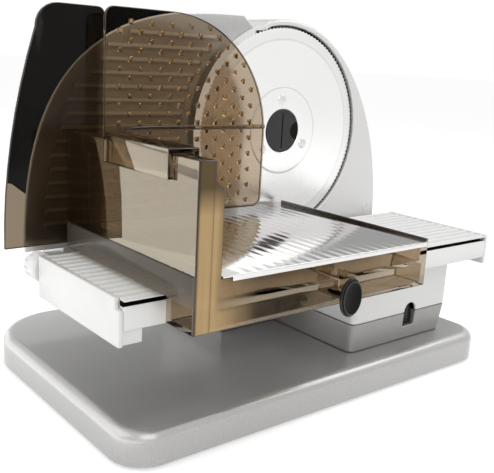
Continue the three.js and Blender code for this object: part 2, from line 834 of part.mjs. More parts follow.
// Motor: upright under a bracket, with its shaft running up to the worm and down to the fan.
const motorBottom = motorTop - motorLength;
const bracketBottom = motorTop + seatGap;
function motorCan() {
  const chamfer = 4;
  const profile = [
    [motorShaftRadius + slideGap, motorBottom],
    [motorRadius - chamfer, motorBottom],
    [motorRadius, motorBottom + chamfer],
    [motorRadius, motorTop - chamfer],
    [motorRadius - chamfer, motorTop],
    [motorShaftRadius + slideGap, motorTop],
    [motorShaftRadius + slideGap, motorBottom],
  ];
  return turnedZ(profile).translate(gearX, wormY, 0);
}
piece('motor_can', motorCan(), brightSteel, housing);

function motorBracket() {
  const plate = block(
    gearX - motorRadius,
    frontWallBack - seatGap,
    towerInside,
    wormY + motorRadius,
    bracketBottom,
    bracketBottom + bracketThick,
  );
  const hole = turnedZ(rod(motorShaftRadius + slideGap, motorTop, bracketBottom + bracketThick + 1), 20);
  return cut(plate, hole.translate(gearX, wormY, 0));
}
piece('motor_bracket', motorBracket(), greyPaint, housing);

const rotor = group(gearX, wormY, 0);
const fanTop = motorBottom - 2;
const fanBottom = fanTop - fanHeight;
piece('motor_shaft', turnedZ(rod(motorShaftRadius, fanBottom - 1, motorShaftTop), 20), brightSteel, rotor);

// Worm: a right-hand thread as a rise and fall over a cylinder's skin.
function worm() {
  const [around, rows] = [12, 44];
  const half = wormLength / 2;
  const root = wormRadius - dedendum;
  const height = addendum + dedendum;
  const threadAt = (turn, z) => {
    const phase = ((z / wormLead - turn / (2 * Math.PI) + 0.25) % 1 + 1.5) % 1;
    const off = Math.abs(phase - 0.5);
    const [crest, flank] = [toothShare * 0.3, toothShare * 0.7];
    return THREE.MathUtils.clamp((flank - off) / (flank - crest), 0, 1);
  };
  const sections = Array.from({ length: rows + 1 }, (_, row) => {
    const z = -half + (wormLength * row) / rows;
    const points = Array.from({ length: around }, (_unused, i) => {
      const turn = (2 * Math.PI * i) / around;
      const radius = root + height * threadAt(turn, z);
      return [radius * Math.cos(turn), radius * Math.sin(turn)];
    });
    return { at: bladeHeight + z, points };
  });
  const boreSide = rod(motorShaftRadius + seatGap, bladeHeight - wormLength, bladeHeight + wormLength);
  const bore = turnedZ(boreSide, 20);
  return cut(loftZ(sections), bore);
}
piece('worm', worm(), brightSteel, rotor);

function motorFan() {
  const plate = 2;
  const hubRadius = motorShaftRadius + 4;
  const disc = turnedZ(rod(fanRadius, fanBottom, fanBottom + plate), 32);
  const hub = turnedZ(rod(hubRadius, fanBottom, fanTop), 20);
  const vanes = Array.from({ length: fanBlades }, (_, i) => {
    const vane = block(hubRadius - 1, fanRadius - 1, -plate / 2, plate / 2, fanBottom, fanTop);
    return vane.rotateZ((2 * Math.PI * i) / fanBlades);
  });
  const bore = turnedZ(rod(motorShaftRadius + seatGap, fanBottom - 1, fanTop + 1), 20);
  return cut(join(disc, hub, ...vanes), bore);
}
piece('motor_fan', motorFan(), blackPlastic, rotor);

// Stop plate: ribbed, with an arched outline and an edge that follows the blade.
const stopSet = group();
const stopBack = stopFront - stopThick;
function stopOutline() {
  const endAngle = 180 + (Math.acos(-stopEdge / stopRadius) * 180) / Math.PI;
  const outer = new THREE.CubicBezierCurve(
    new THREE.Vector2(stopTip, stopTop),
    new THREE.Vector2(stopTip - stopCrown, stopTop),
    new THREE.Vector2(stopLeft, stopTop - stopShoulder),
    new THREE.Vector2(stopLeft, stopBottom),
  );
  return [
    [stopEdge, stopBottom],
    ...arcPoints(0, bladeHeight, stopRadius, stopRadius, endAngle, 180 - stopTipAngle, 24),
    ...outer.getPoints(24).map(({ x, y }) => [x, y]),
  ];
}

function stopPlate() {
  const outline = stopOutline();
  const plate = alongX(outline, stopBack, stopFront);
  const ribs = [];
  for (let z = stopTop - stopRibDrop; z > stopBottom + stopRibPitch; z -= stopRibPitch) {
    const drop = z - bladeHeight;
    const bladeSide = Math.min(-Math.sqrt(Math.max(stopRadius ** 2 - drop ** 2, 0)), stopTip) - stopRibMargin;
    const outside = outline.filter(([y]) => y < stopTip).reduce((best, point) =>
      Math.abs(point[1] - z) < Math.abs(best[1] - z) && point[0] < bladeSide - stopRibMargin ? point : best,
    [stopLeft, stopBottom]);
    const low = outside[0] + stopRibMargin;
    if (bladeSide - low < stopRibMargin) continue;
    const section = [
      [z - stopRibWidth / 2, stopFront - stopRibHeight],
      [z - stopRibWidth / 2, stopFront],
      [z, stopFront + stopRibHeight],
      [z + stopRibWidth / 2, stopFront],
      [z + stopRibWidth / 2, stopFront - stopRibHeight],
    ];
    ribs.push(alongY(section.map(([height, x]) => [x, height]), low, bladeSide));
  }
  const bosses = rodY.map((y) =>
    turnedX(rod(rodBoss, stopBack - rodBossDepth, stopBack + 1), 24).translate(0, y, rodZ),
  );
  const sockets = rodY.map((y) =>
    turnedX(rod(rodRadius + seatGap, stopBack - rodBossDepth - 1, stopBack - 1), 20).translate(0, y, rodZ),
  );
  return cut(join(plate, ...ribs, ...bosses), ...sockets);
}
piece('stop_plate', stopPlate(), silverPaint, stopSet);

const rodFront = stopBack - 1 - seatGap;
rodY.forEach((y, i) => {
  const guide = turnedX(rod(rodRadius, rodFront - rodLength, rodFront), 20).translate(0, y, rodZ);
  piece(`stop_rod_${i + 1}`, guide, brightSteel, stopSet);
});

// Arm behind the stop plate: carries the plate's guide rods and the thickness dial.
function adjustArm() {
  const bar = block(armBack, armFront, armLeft, towerLeft - seatGap, armBottom, armTop);
  const lugHalf = dialShaft + lugWall;
  const lug = alongX(
    [
      [armLeft + 1, dialZ - lugHalf],
      [armLeft + 1, dialZ + lugHalf],
      ...arcPoints(dialY, dialZ, lugHalf, lugHalf, 90, 270, 10),
    ],
    armFront - lugThick,
    armFront,
  );
  const sleeveFront = stopBack - rodBossDepth - stopTravel - sleeveClear;
  const sleeveHalf = rodRadius + sleeveWall;
  const sleeves = rodY.map((y) =>
    block(armBack, sleeveFront, y - sleeveHalf, y + sleeveHalf, armTop - 1, rodZ + sleeveHalf),
  );
  const bores = rodY.map((y) =>
    turnedX(rod(rodRadius + seatGap, armBack - 1, sleeveFront + 1), 20).translate(0, y, rodZ),
  );
  const shaftHole = turnedX(rod(dialShaft + seatGap, armFront - lugThick - 1, armFront + 1), 20);
  return cut(join(bar, lug, ...sleeves), ...bores, shaftHole.translate(0, dialY, dialZ));
}
piece('adjust_arm', adjustArm(), greyPaint, housing);

const dial = group(0, dialY, dialZ);
function thicknessDial() {
  const chamfer = 1.5;
  const profile = [
    [0, dialBack],
    [dialRadius - chamfer, dialBack],
    [dialRadius, dialBack + chamfer],
    [dialRadius, dialFront - chamfer],
    [dialRadius - chamfer, dialFront],
    [0, dialFront],
  ];
  const grip = turnedX(profile, 24);
  const bore = turnedX(rod(dialShaft + seatGap, dialBack - 1, dialFront - housingWall), 20);
  const cuts = Array.from({ length: dialNotches }, (_, i) => {
    const groove = turnedX(rod(notchRadius, dialBack - 1, dialBack + notchLength), 6);
    return groove.translate(0, dialRadius, 0).rotateX((2 * Math.PI * i) / dialNotches);
  });
  return cut(grip, bore, ...cuts);
}
piece('thickness_dial', thicknessDial(), whitePlastic, dial);
const dialShaftEnd = armFront - lugThick - 3;
const dialShaftFront = dialFront - housingWall - seatGap;
piece('dial_shaft', turnedX(rod(dialShaft, dialShaftEnd, dialShaftFront), 20), brightSteel, dial);

// Carriage: a hollow wall at the user's end, a skirt along the front, a rim, and rails under the steel tray.
const carriage = group();
function wallProfile(inset, bottom) {
  const left = carriageLeft + inset;
  const ribRight = carriageLeft + wallRib - inset;
  const right = carriageLeft + wallWidth - inset;
  const shoulder = wallTop - wallShoulder - inset / 2;
  return [
    [left, bottom],
    [right, bottom],
    [right, shoulder - shoulderDrop],
    [ribRight, shoulder],
    [ribRight, wallTop - inset],
    [left, wallTop - inset],
  ];
}

function carriageBody() {
  const wallRight = carriageLeft + wallWidth;
  const rimLeft = carriageRight - carriageWall;
  const inside = carriageFront - carriageWall;
  const solids = [
    alongX(wallProfile(0, deckBottom), wallStart, carriageFront),
    block(skirtBack, carriageFront, carriageLeft, wallRight, skirtBottom, deckTop),
    block(inside, carriageFront, wallRight - 1, carriageRight, skirtBottom, railTop),
    block(skirtBack, carriageFront, wallRight - 1, carriageRight, skirtBottom, skirtBottom + carriageWall),
    block(skirtBack, carriageFront, rimLeft, carriageRight, skirtBottom, rimTop),
    block(wallStart, carriageFront, rimLeft, carriageRight, deckBottom, rimTop),
    block(wallStart, carriageFront - 1, wallRight - 1, carriageRight, deckBottom, deckTop),
    block(wallStart, wallStart + carriageWall, wallRight - 1, carriageRight, deckBottom, railTop),
  ];
  for (const y of [wallRight, (wallRight + rimLeft - railWidth) / 2, rimLeft - railWidth]) {
    solids.push(block(wallStart, carriageFront - 1, y, y + railWidth, deckBottom, railTop));
  }
  for (const side of [-1, 1]) {
    const y = knobY + (side * bossSpan) / 2;
    const half = carriageWall / 2;
    solids.push(block(inside - knobStemLength, inside + 1, y - half, y + half, skirtBottom, deckTop));
  }
  const wallHollow = alongX(wallProfile(carriageWall, deckBottom - 1), wallStart + carriageWall, inside);
  const columnHollow = block(
    skirtBack + carriageWall,
    inside,
    carriageLeft + carriageWall,
    wallRight - carriageWall,
    skirtBottom + carriageWall,
    deckTop + 1,
  );
  const stemHole = turnedX(rod(knobStem + seatGap, inside - knobStemLength, carriageFront + 1), 20);
  return cut(join(...solids), wallHollow, columnHollow, stemHole.translate(0, knobY, knobZ));
}
piece('carriage_body', carriageBody(), smoked(), carriage);

// Tray: a fluted sheet that lies on the rails, with a lip folded down over the skirt.
function steelTray() {
  const from = carriageLeft + wallWidth + seatGap;
  const to = carriageRight - carriageWall - seatGap;
  const margin = 6;
  const count = Math.floor((to - from - 2 * margin) / flutePitch);
  const first = (from + to) / 2 - (count * flutePitch) / 2;
  const upper = [];
  for (let i = 0; i < count; i += 1) {
    const y = first + i * flutePitch;
    const quarter = flutePitch / 4;
    upper.push([y, trayTop - fluteRise], [y + quarter, trayTop], [y + 3 * quarter, trayTop]);
  }
  upper.push([first + count * flutePitch, trayTop - fluteRise]);
  const outline = [[from, trayBottom], [to, trayBottom], [to, trayTop], ...upper.reverse(), [from, trayTop]];
  const sheet = alongX(outline, carriageBack, carriageFront + seatGap + traySheet);
  const lip = block(
    carriageFront + seatGap,
    carriageFront + seatGap + traySheet,
    trayLipStart,
    to,
    trayTop - trayLip,
    trayTop - fluteRise,
  );
  const guardSide = guardRight + seatGap;
  const guardNotch = block(carriageBack - 1, wallStart, from - 1, guardSide, trayBottom - 1, trayTop + 1);
  return cut(join(sheet, lip), guardNotch);
}
piece('steel_tray', steelTray(), brightSteel, carriage);

function thumbGuard() {
  const cornerZ = guardTop - guardCorner;
  const outerAt = (z) => guardLeft + guardLean * ((z - guardBottom) / (guardTop - guardBottom)) ** 2;
  const steps = 8;
  const outer = Array.from({ length: steps + 1 }, (_, i) => {
    const z = guardBottom + ((cornerZ - guardBottom) * i) / steps;
    return [outerAt(z), z];
  });
  const corner = arcPoints(outerAt(cornerZ) + guardCorner, cornerZ, guardCorner, guardCorner, 180, 90, 6);
  const inner = arcPoints(guardRight - guardInner, guardTop - guardInner, guardInner, guardInner, 90, 0, 4);
  const outline = [...outer, ...corner.slice(1), ...inner, [guardRight, guardBottom]];
  return alongX(outline, carriageBack, carriageBack + guardThick);
}
piece('thumb_guard', thumbGuard(), smoked(), carriage);

// Runners hook into the beam's slot, glides rest on the beam's top.
const runnerPlaces = [carriageLeft + runnerInset, carriageRight - runnerInset - runnerLength];
runnerPlaces.forEach((y, i) => {
  const grooveTop = beamTop - ribHeight - groovePlate;
  const tongueTop = grooveTop - slideGap;
  const tongueBottom = grooveTop - grooveHeight + slideGap;
  const legBack = beamFront + slideGap;
  const legFront = legBack + glideWidth / 3;
  const outline = [
    [beamFront - grooveDepth + slideGap, tongueBottom],
    [legFront, tongueBottom],
    [legFront, deckBottom - seatGap],
    [legBack, deckBottom - seatGap],
    [legBack, tongueTop],
    [beamFront - grooveDepth + slideGap, tongueTop],
  ];
  piece(`carriage_runner_${i + 1}`, alongY(outline, y, y + runnerLength), whitePlastic, carriage);
  const glide = block(
    beamBack + ribPitch,
    beamBack + ribPitch + glideWidth,
    y,
    y + runnerLength,
    beamTop + seatGap,
    deckBottom - seatGap,
  );
  piece(`carriage_glide_${i + 1}`, glide, whitePlastic, carriage);
});

// Lock knob on the carriage's front.
function carriageKnob() {
  const back = carriageFront + seatGap;
  const edge = 2;
  const dish = 1;
  const profile = [
    [0, back],
    [knobHeight, back],
    [knobHeight, back + knobThick - edge],
    [knobHeight - edge, back + knobThick],
    [knobHeight - 2 * edge, back + knobThick - dish / 2],
    [0, back + knobThick - dish],
  ];
  const grip = turnedX(profile, 28).scale(1, knobOval, 1);
  const stem = turnedX(rod(knobStem, carriageFront - knobStemLength, back + 1), 16);
  return join(grip, stem);
}
piece('carriage_knob', carriageKnob(), blackPlastic, group(0, knobY, knobZ, carriage));

// Pusher: a spiked plate beside the blade, and a hook that rides on the wall's narrow top.
const pusher = group();
const pusherBottom = trayTop + pusherLift;
function pusherOutline() {
  const cornerY = pusherRight - pusherCorner;
  return [
    [pusherLeft, pusherBottom],
    [cornerY, pusherBottom],
    ...arcPoints(cornerY, pusherBottom + pusherCorner, pusherCorner, pusherCorner, -90, 0, 4),
    ...arcPoints(pusherRight - pusherCrown, pusherTop - pusherCrown, pusherCrown, pusherCrown, 0, 90, 16),
    ...arcPoints(pusherLeft + pusherCorner, pusherTop - pusherCorner, pusherCorner, pusherCorner, 90, 180, 4),
  ];
}

// Pins: square points on the blade's side of the plate, in staggered rows, that hold the food.
function pusherPlate() {
  const plate = alongX(pusherOutline(), pusherX, pusherX + pusherThick);
  const lowest = pusherBottom + pinLift;
  const rows = Math.floor((pusherTop - pinMargin - lowest) / pinRow) + 1;
  const reach = pusherCrown - pinCrownMargin;
  const pins = [];
  for (let row = 0; row < rows; row += 1) {
    const z = lowest + row * pinRow;
    const first = pusherLeft + pinInset + (row % 2) * (pinPitch / 2);
    for (let y = first; y < pusherRight - pinMargin; y += pinPitch) {
      const [over, past] = [z - (pusherTop - pusherCrown), y - (pusherRight - pusherCrown)];
      if (over > 0 && past > 0 && Math.hypot(over, past) > reach) continue;
      const point = new THREE.ConeGeometry(pinWidth / Math.SQRT2, pinHeight + seatGap, 4);
      point.rotateZ(Math.PI / 2);
      pins.push(point.rotateX(Math.PI / 4).translate(pusherX - (pinHeight - seatGap) / 2, y, z));
    }
  }
  return join(plate, ...pins);
}
piece('pusher_plate', pusherPlate(), smoked(), pusher);

function pusherHook() {
  const plateFront = pusherX + pusherThick + seatGap;
  const flare = new THREE.QuadraticBezierCurve(
    new THREE.Vector2(plateFront + webWidth, webFlare),
    new THREE.Vector2(plateFront + webWidth, hookRight),
    new THREE.Vector2(hookBack, hookRight),
  );
  const roof = alongZ(
    [
      [plateFront, pusherLeft],
      [hookBack, hookLeft],
      [hookFront, hookLeft],
      [hookFront, hookRight],
      ...flare.getPoints(8).reverse().map(({ x, y }) => [x, y]),
      [plateFront + webWidth, webEnd],
      [plateFront, webEnd],
    ],
    hookTop - hookRoof,
    hookTop,
  );
  const outerLeg = block(hookBack, hookFront, hookLeft, hookLeft + hookWall, wallTop - hookLeg, hookTop - 1);
  const innerLeg = block(
    hookBack,
    hookFront,
    hookRight - hookWall,
    hookRight,
    wallTop - wallShoulder + slideGap,
    hookTop - 1,
  );
  return join(roof, outerLeg, innerLeg);
}
piece('pusher_hook', pusherHook(), smoked(), pusher);

// Switch: a sprung button in a body that fills the window from behind.
const buttonFront = boxFront - switchInset;
const buttonBack = buttonFront - switchButtonDepth;
const switchFront = boxFront - housingWall - boxDraft - seatGap;
function switchBody() {
  const pocketBack = buttonBack - switchTravel - seatGap;
  const half = switchWidth / 2 + switchBodyWall;
  const low = switchZ - switchHeight / 2 - switchBodyWall;
  const high = switchZ + switchHeight / 2 + switchBodyWall;
  const body = block(pocketBack - 2 * switchBodyWall, switchFront, switchY - half, switchY + half, low, high);
  return cut(body, alongX(switchOutline(0), pocketBack, switchFront + 1));
}
piece('switch_body', switchBody(), blackPlastic, housing);
piece('switch_button', alongX(switchOutline(-slideGap), buttonBack, buttonFront), blackPlastic, housing);

// The part's own frame: origin on the table, under the middle of the whole slicer.
const bounds = new THREE.Box3().setFromObject(slicer);
const middle = bounds.getCenter(new THREE.Vector3());
slicer.position.set(-middle.x, -middle.y, 0);

export default slicer;
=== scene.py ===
"""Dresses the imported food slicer: its finishes, its detailed pieces and the studio that it stands in."""

import json
import math

import bmesh
import bpy
from bpy.props import FloatProperty, FloatVectorProperty, IntProperty, PointerProperty
from bpy.types import Operator, Panel, PropertyGroup
from mathutils import Matrix, Vector


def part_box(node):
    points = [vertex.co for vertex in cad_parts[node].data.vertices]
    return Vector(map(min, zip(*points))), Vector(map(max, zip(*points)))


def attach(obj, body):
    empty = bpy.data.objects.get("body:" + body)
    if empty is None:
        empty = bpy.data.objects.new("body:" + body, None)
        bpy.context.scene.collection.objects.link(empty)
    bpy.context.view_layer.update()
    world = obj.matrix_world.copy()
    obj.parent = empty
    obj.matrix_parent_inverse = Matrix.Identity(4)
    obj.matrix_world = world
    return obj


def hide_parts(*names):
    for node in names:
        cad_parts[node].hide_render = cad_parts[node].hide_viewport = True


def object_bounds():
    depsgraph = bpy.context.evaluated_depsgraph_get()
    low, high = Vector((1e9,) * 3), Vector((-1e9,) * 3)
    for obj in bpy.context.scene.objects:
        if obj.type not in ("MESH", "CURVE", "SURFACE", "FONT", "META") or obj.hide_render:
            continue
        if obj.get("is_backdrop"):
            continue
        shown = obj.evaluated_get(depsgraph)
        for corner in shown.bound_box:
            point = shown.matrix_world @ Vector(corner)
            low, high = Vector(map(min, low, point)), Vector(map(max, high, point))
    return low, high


bl_info = {
    "name": "Food slicer",
    "version": (1, 0, 0),
    "blender": (4, 5, 0),
    "location": "3D View > Sidebar > Slicer",
    "description": "Dresses the packed food slicer and sets up its studio",
    "category": "Object",
}

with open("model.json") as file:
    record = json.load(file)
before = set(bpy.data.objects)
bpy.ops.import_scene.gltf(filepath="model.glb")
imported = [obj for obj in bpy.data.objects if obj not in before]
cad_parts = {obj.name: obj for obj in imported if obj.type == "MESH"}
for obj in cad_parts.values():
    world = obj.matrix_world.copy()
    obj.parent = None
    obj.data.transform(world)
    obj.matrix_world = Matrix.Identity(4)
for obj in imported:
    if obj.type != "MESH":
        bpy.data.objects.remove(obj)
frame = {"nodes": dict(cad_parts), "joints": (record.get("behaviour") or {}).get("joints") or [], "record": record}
CAD_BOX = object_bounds()
NODES = frame["nodes"]
BODY_OF = {
    node: body for body, nodes in frame["record"]["behaviour"]["bodies"].items() for node in nodes
}
BLADE_AXIS = next(Vector(joint["pos_m"]) for joint in frame["joints"] if joint["name"] == "blade_spin")

# Places on the housing, from the blade's axis
SCREW_COVER_AT = Vector((0.0025, 0.125, -0.0835))
HOOD_END_Y, HOOD_FOOT_Z = -0.029, 0.07
# The recess behind the blade, and where the painted shade in it starts
RECESS_MOUTH_X, RECESS_RIM_X, RECESS_FLOOR_X = 0.0006, -0.0013, -0.0135
RECESS_OPEN_Y = 0.02

LAST_RING = 0.0004  # innermost ring of a turned piece, which is then filled


def length(name, description, default):
    return FloatProperty(
        name=name, description=description, default=default, min=0.0, precision=5, unit="LENGTH"
    )


def share(name, description, default):
    return FloatProperty(
        name=name, description=description, default=default, min=0.0, max=1.0, subtype="FACTOR"
    )


def colour(name, description, default):
    return FloatVectorProperty(
        name=name, description=description, default=default, size=3, min=0.0, max=1.0, subtype="COLOR"
    )


class SlicerSizes(PropertyGroup):
    """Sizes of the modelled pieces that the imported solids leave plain."""

    base_front_corner: length("Front corners", "Radius of the base's front corners", 0.028)
    base_back_corner: length("Back corners", "Radius of the base's back corners", 0.062)
    base_round: length("Top edge", "Rounding of the base's top edge", 0.009)
    base_wall: length("Base wall", "Wall of the base's shell", 0.004)
    base_roof: length("Base roof", "Thickness under the base's top", 0.012)
    foot_edge: length("Foot edges", "Rounding of the rubber feet's edges", 0.0005)
    small_edge: length("Small edges", "Rounding of the cord's bush, the stop's arm and the switch", 0.0006)
    cap_edge: length("Cap edges", "Rounding of the beam's end caps", 0.0008)
    stop_edge: length("Stop plate edges", "Rounding of the stop plate's outline", 0.0010)
    dial_edge: length("Dial edges", "Rounding of the thickness dial's notches", 0.0004)
    knob_edge: length("Knob edges", "Rounding of the carriage knob's rim", 0.0007)
    paint_edge: length("Housing edges", "Rounding of the painted housing's edges", 0.0012)
    plastic_edge: length("Beam edges", "Rounding of the white beam's edges", 0.0005)
    smoked_edge: length("Smoked edges", "Rounding of the smoked pieces' edges", 0.0006)
    steel_edge: length("Sheet edges", "Rounding of the steel tray's edges", 0.0003)
    blade_bevel: length("Blade bevel", "Width of the ground edge of the blade", 0.011)
    blade_rim: length("Blade rim", "Thickness of the blade at its teeth", 0.0005)
    blade_ring: length("Raised ring", "Radius of the blade's raised middle", 0.040)
    tooth_depth: length("Tooth depth", "Depth of the scallops in the cutting edge", 0.0013)
    cover_radius: length("Screw cover", "Radius of the round cover on the housing's face", 0.0042)
    stop_gap: length("Stop gap", "Gap between the blade's edge and the stop plate", 0.005)
    # Painted shade on the stop plate beside the blade: the width of its dark margin and the depth of its dark edge
    stop_shade_margin: length("Stop margin", "Width of the stop plate's dark margin beside the blade", 0.008)
    stop_shade_flank: length("Stop flank", "Depth of the stop plate's dark edge beside the blade", 0.0012)
    # Painted shade: how far the black painted into the recess behind the blade reaches
    recess_shade_reach: length("Recess gap", "How far the lined recess reaches past the blade", 0.0022)
    hood_gap: length("Hood gap", "How far the hood's end is drawn in from the stop plate", 0.005)
    deck_height: length("Deck height", "Lower edge of the carriage's polished wall", 0.1553)
    lock_thick: length("Lock thickness", "Thickness of the blade's lock", 0.0026)
    lock_stem: length("Lock stem", "Radius of the lock's stem", 0.005)
    lock_slot: length("Lock slot", "Width of the slot in the lock", 0.0013)
    lock_notch: length("Lock notch", "Radius of the finger notch in the lock", 0.0085)
    pusher_crown: length("Pusher crown", "Radius of the pusher's large corner", 0.100)
    pusher_corner: length("Pusher corners", "Radius of the pusher's small corners", 0.008)
    pin_pitch: length("Pin pitch", "Distance of the pins in a row", 0.01855)
    pin_row: length("Pin rows", "Distance of the rows of pins", 0.00696)
    pin_inset: length("Pin inset", "First pin from the pusher's left edge", 0.014)
    pin_lift: length("Pin lift", "Lowest row from the pusher's lower edge", 0.0065)
    pin_margin: length("Pin margin", "Kept clear along the right and upper edges", 0.010)
    pin_width: length("Pin width", "Width of a square pin", 0.0042)
    pin_height: length("Pin height", "Height of a pin", 0.004)
    blade_teeth: IntProperty(
        name="Blade teeth", description="Scallops round the cutting edge", default=144, min=12
    )


class SlicerFinishes(PropertyGroup):
    """Colours of the finishes, as linear values."""

    silver: colour("Silver paint", "Metallic paint of the base and stop plate", (0.44, 0.435, 0.427))
    pale: colour("Pale paint", "Light silver paint of the motor housing", (0.73, 0.725, 0.715))
    grey: colour("Grey paint", "Grey paint of the lower housing", (0.34, 0.335, 0.323))
    white: colour("White plastic", "Plastic of the beam and its caps", (0.86, 0.86, 0.845))
    steel: colour("Blade steel", "Turned steel of the blade", (0.85, 0.845, 0.84))
    tray: colour("Tray steel", "Rolled steel of the tray", (0.68, 0.675, 0.665))
    smoked_dark: colour("Dark smoked plastic", "Plastic of the thumb guard", (0.225, 0.178, 0.124))
    smoked: colour("Smoked plastic", "Plastic of the pusher", (0.51, 0.42, 0.315))
    # Painted shade: near-black edges that stand in for the dark lines refraction draws along the clear plastic's
    # edges
    painted_dark_rim: colour("Smoked edges", "Edges of the smoked pieces", (0.035, 0.026, 0.018))
    # Painted light: the tan glow painted on the carriage's front column, in place of light that the clear plastic
    # carries
    glow: colour("Lit column", "Light gathered in the carriage's front column", (0.52, 0.355, 0.175))
    smoked_light: colour("Light smoked plastic", "Plastic of the carriage", (0.62, 0.53, 0.42))
    black: colour("Black plastic", "Plastic of the knobs and the switch", (0.007, 0.007, 0.007))
    rubber: colour("Rubber", "Rubber of the feet and the cord's bush", (0.03, 0.03, 0.03))
    gear: colour("Gear plastic", "Natural plastic of the gear and the fan", (0.78, 0.75, 0.66))
    bronze: colour("Bronze", "Sintered bronze of the bushes", (0.36, 0.20, 0.075))
    skin: colour("Polished skin", "Tint of the polished wall's reflection", (1.0, 0.90, 0.72))
    skin_share: share("Skin share", "How much the polished wall mirrors", 0.20)
    flake: share("Flake contrast", "How far the flakes of the metallic paint stand out", 0.10)


class SlicerStudio(PropertyGroup):
    """Camera and light."""

    eye: FloatVectorProperty(
        name="Eye", description="Camera's place", default=(0.5082, -0.42085, 0.2829), subtype="TRANSLATION"
    )
    view: FloatVectorProperty(
        name="View", description="Camera's direction", default=(-0.7517, 0.6180, -0.2300), subtype="DIRECTION"
    )
    roll: FloatProperty(name="Roll", description="Camera's tilt", default=math.radians(3.1), subtype="ANGLE")
    lens: FloatProperty(name="Lens", description="Focal length in millimetres", default=53.9, min=1.0)
    room: FloatProperty(name="Room light", description="Light of the white room", default=0.55, min=0.0)
    left: FloatProperty(name="Left lamp", description="Power of the lamp at the left", default=4.3, min=0.0)
    front: FloatProperty(
        name="Front lamp", description="Power of the lamp at the front", default=7.6, min=0.0
    )
    top: FloatProperty(name="Top lamp", description="Power of the lamp over the back", default=9.0, min=0.0)
    card: FloatProperty(
        name="White card", description="Brightness of the low white cards", default=1.9, min=0.0
    )
    floor: share("Floor", "Reflectance of the pale floor", 0.86)


class Value:
    """A socket that arithmetic can be done on: each step adds a Math node."""

    def __init__(self, shading, socket):
        self.shading, self.socket = shading, socket

    def _math(self, operation, *terms):
        return self.shading.node("ShaderNodeMath", {"operation": operation}, dict(enumerate(terms)))

    def __add__(self, other):
        return self._math("ADD", self, other)

    def __sub__(self, other):
        return self._math("SUBTRACT", self, other)

    def __rsub__(self, other):
        return self._math("SUBTRACT", other, self)

    def __mul__(self, other):
        return self._math("MULTIPLY", self, other)

    def __pow__(self, other):
        return self._math("POWER", self, other)

    def sibling(self, output):
        """Another output of the same node."""
        return Value(self.shading, self.socket.node.outputs[output])

    def at_most(self, other):
        return self._math("MINIMUM", self, other)

    def size(self):
        return self._math("ABSOLUTE", self)

    def kept(self):
        """The value, kept between 0 and 1."""
        return self._math("MAXIMUM", self.at_most(1.0), 0.0)

    __radd__ = __add__
    __rmul__ = __mul__


class Shading:
    """The nodes of one finish, or of the world."""

    def __init__(self, owner):
        owner.use_nodes = True
        self.tree = owner.node_tree
        self.tree.nodes.clear()

    def node(self, kind, settings=None, inputs=None, output=0):
        """Adds a node: its settings first, then the values or links of its sockets."""
        made = self.tree.nodes.new(kind)
        for name, setting in (settings or {}).items():
            if name == "stops":
                for stop, (place, shade) in zip(made.color_ramp.elements, setting):
                    stop.position, stop.color = place, (shade, shade, shade, 1.0)
            else:
                setattr(made, name, setting)
        for name, value in (inputs or {}).items():
            self.feed(made.inputs[name], value)
        return Value(self, made.outputs[output]) if made.outputs else None

    def feed(self, socket, value):
        if isinstance(value, Value):
            self.tree.links.new(value.socket, socket)
        elif socket.type == "RGBA" and len(value) == 3:
            socket.default_value = (*value, 1.0)
        else:
            socket.default_value = value

    def places(self, shift=(0.0, 0.0, 0.0), stretch=(1.0, 1.0, 1.0)):
        """Object coordinates, moved and stretched."""
        coordinates = self.node("ShaderNodeTexCoord", output="Object")
        return self.node(
            "ShaderNodeMapping", inputs={"Vector": coordinates, "Location": shift, "Scale": stretch}
        )

    def parts(self, place):
        """The three coordinates of a place."""
        first = self.node("ShaderNodeSeparateXYZ", inputs={0: place})
        return [first.sibling(number) for number in range(3)]

    def noise(self, scale, detail=2.0, stretch=(1.0, 1.0, 1.0)):
        return self.node(
            "ShaderNodeTexNoise",
            inputs={"Vector": self.places(stretch=stretch), "Scale": scale, "Detail": detail},
        )

    def spread(self, value, low, high):
        """A value's middle range, stretched from 0 to 1."""
        return self.node("ShaderNodeValToRGB", {"stops": ((low, 0.0), (high, 1.0))}, {"Fac": value})

    def between(self, first, second, factor):
        """A colour between two others."""
        return self.node(
            "ShaderNodeMix", {"data_type": "RGBA"}, {0: factor, 6: first, 7: second}, output=2
        )

    def relief(self, height, strength, distance):
        return self.node(
            "ShaderNodeBump", inputs={"Height": height, "Strength": strength, "Distance": distance}
        )

    def surface(self, sockets):
        shader = self.node("ShaderNodeBsdfPrincipled", inputs=sockets)
        self.node("ShaderNodeOutputMaterial", inputs={"Surface": shader})


def palette():
    """The finishes' colours, as the panel has them."""
    return bpy.context.scene.slicer_finishes


def tinted(shade, factor):
    """A colour made darker or lighter."""
    return tuple(min(1.0, channel * factor) for channel in shade)


def over(value, edge, rate):
    """0 where a value is below an edge, rising to 1 past it."""
    return (rate * (value - edge)).kept()


def under(value, edge, rate):
    """0 where a value is past an edge, rising to 1 below it."""
    return (rate * (edge - value)).kept()


def band(value, middle, width):
    """1 where a value is at the middle of a band, falling to 0 at its sides."""
    return (1.0 - (value - middle).size() * (1.0 / width)).kept()


def about_blade(shading):
    """Distance from the blade's axis, and height above it."""
    across, up = shading.parts(shading.places(shift=-BLADE_AXIS))[1:]
    return (across * across + up * up) ** 0.5, up


def blade_reach():
    """Radius of the blade's cutting edge."""
    low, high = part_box("blade")
    return (high.z - low.z) / 2


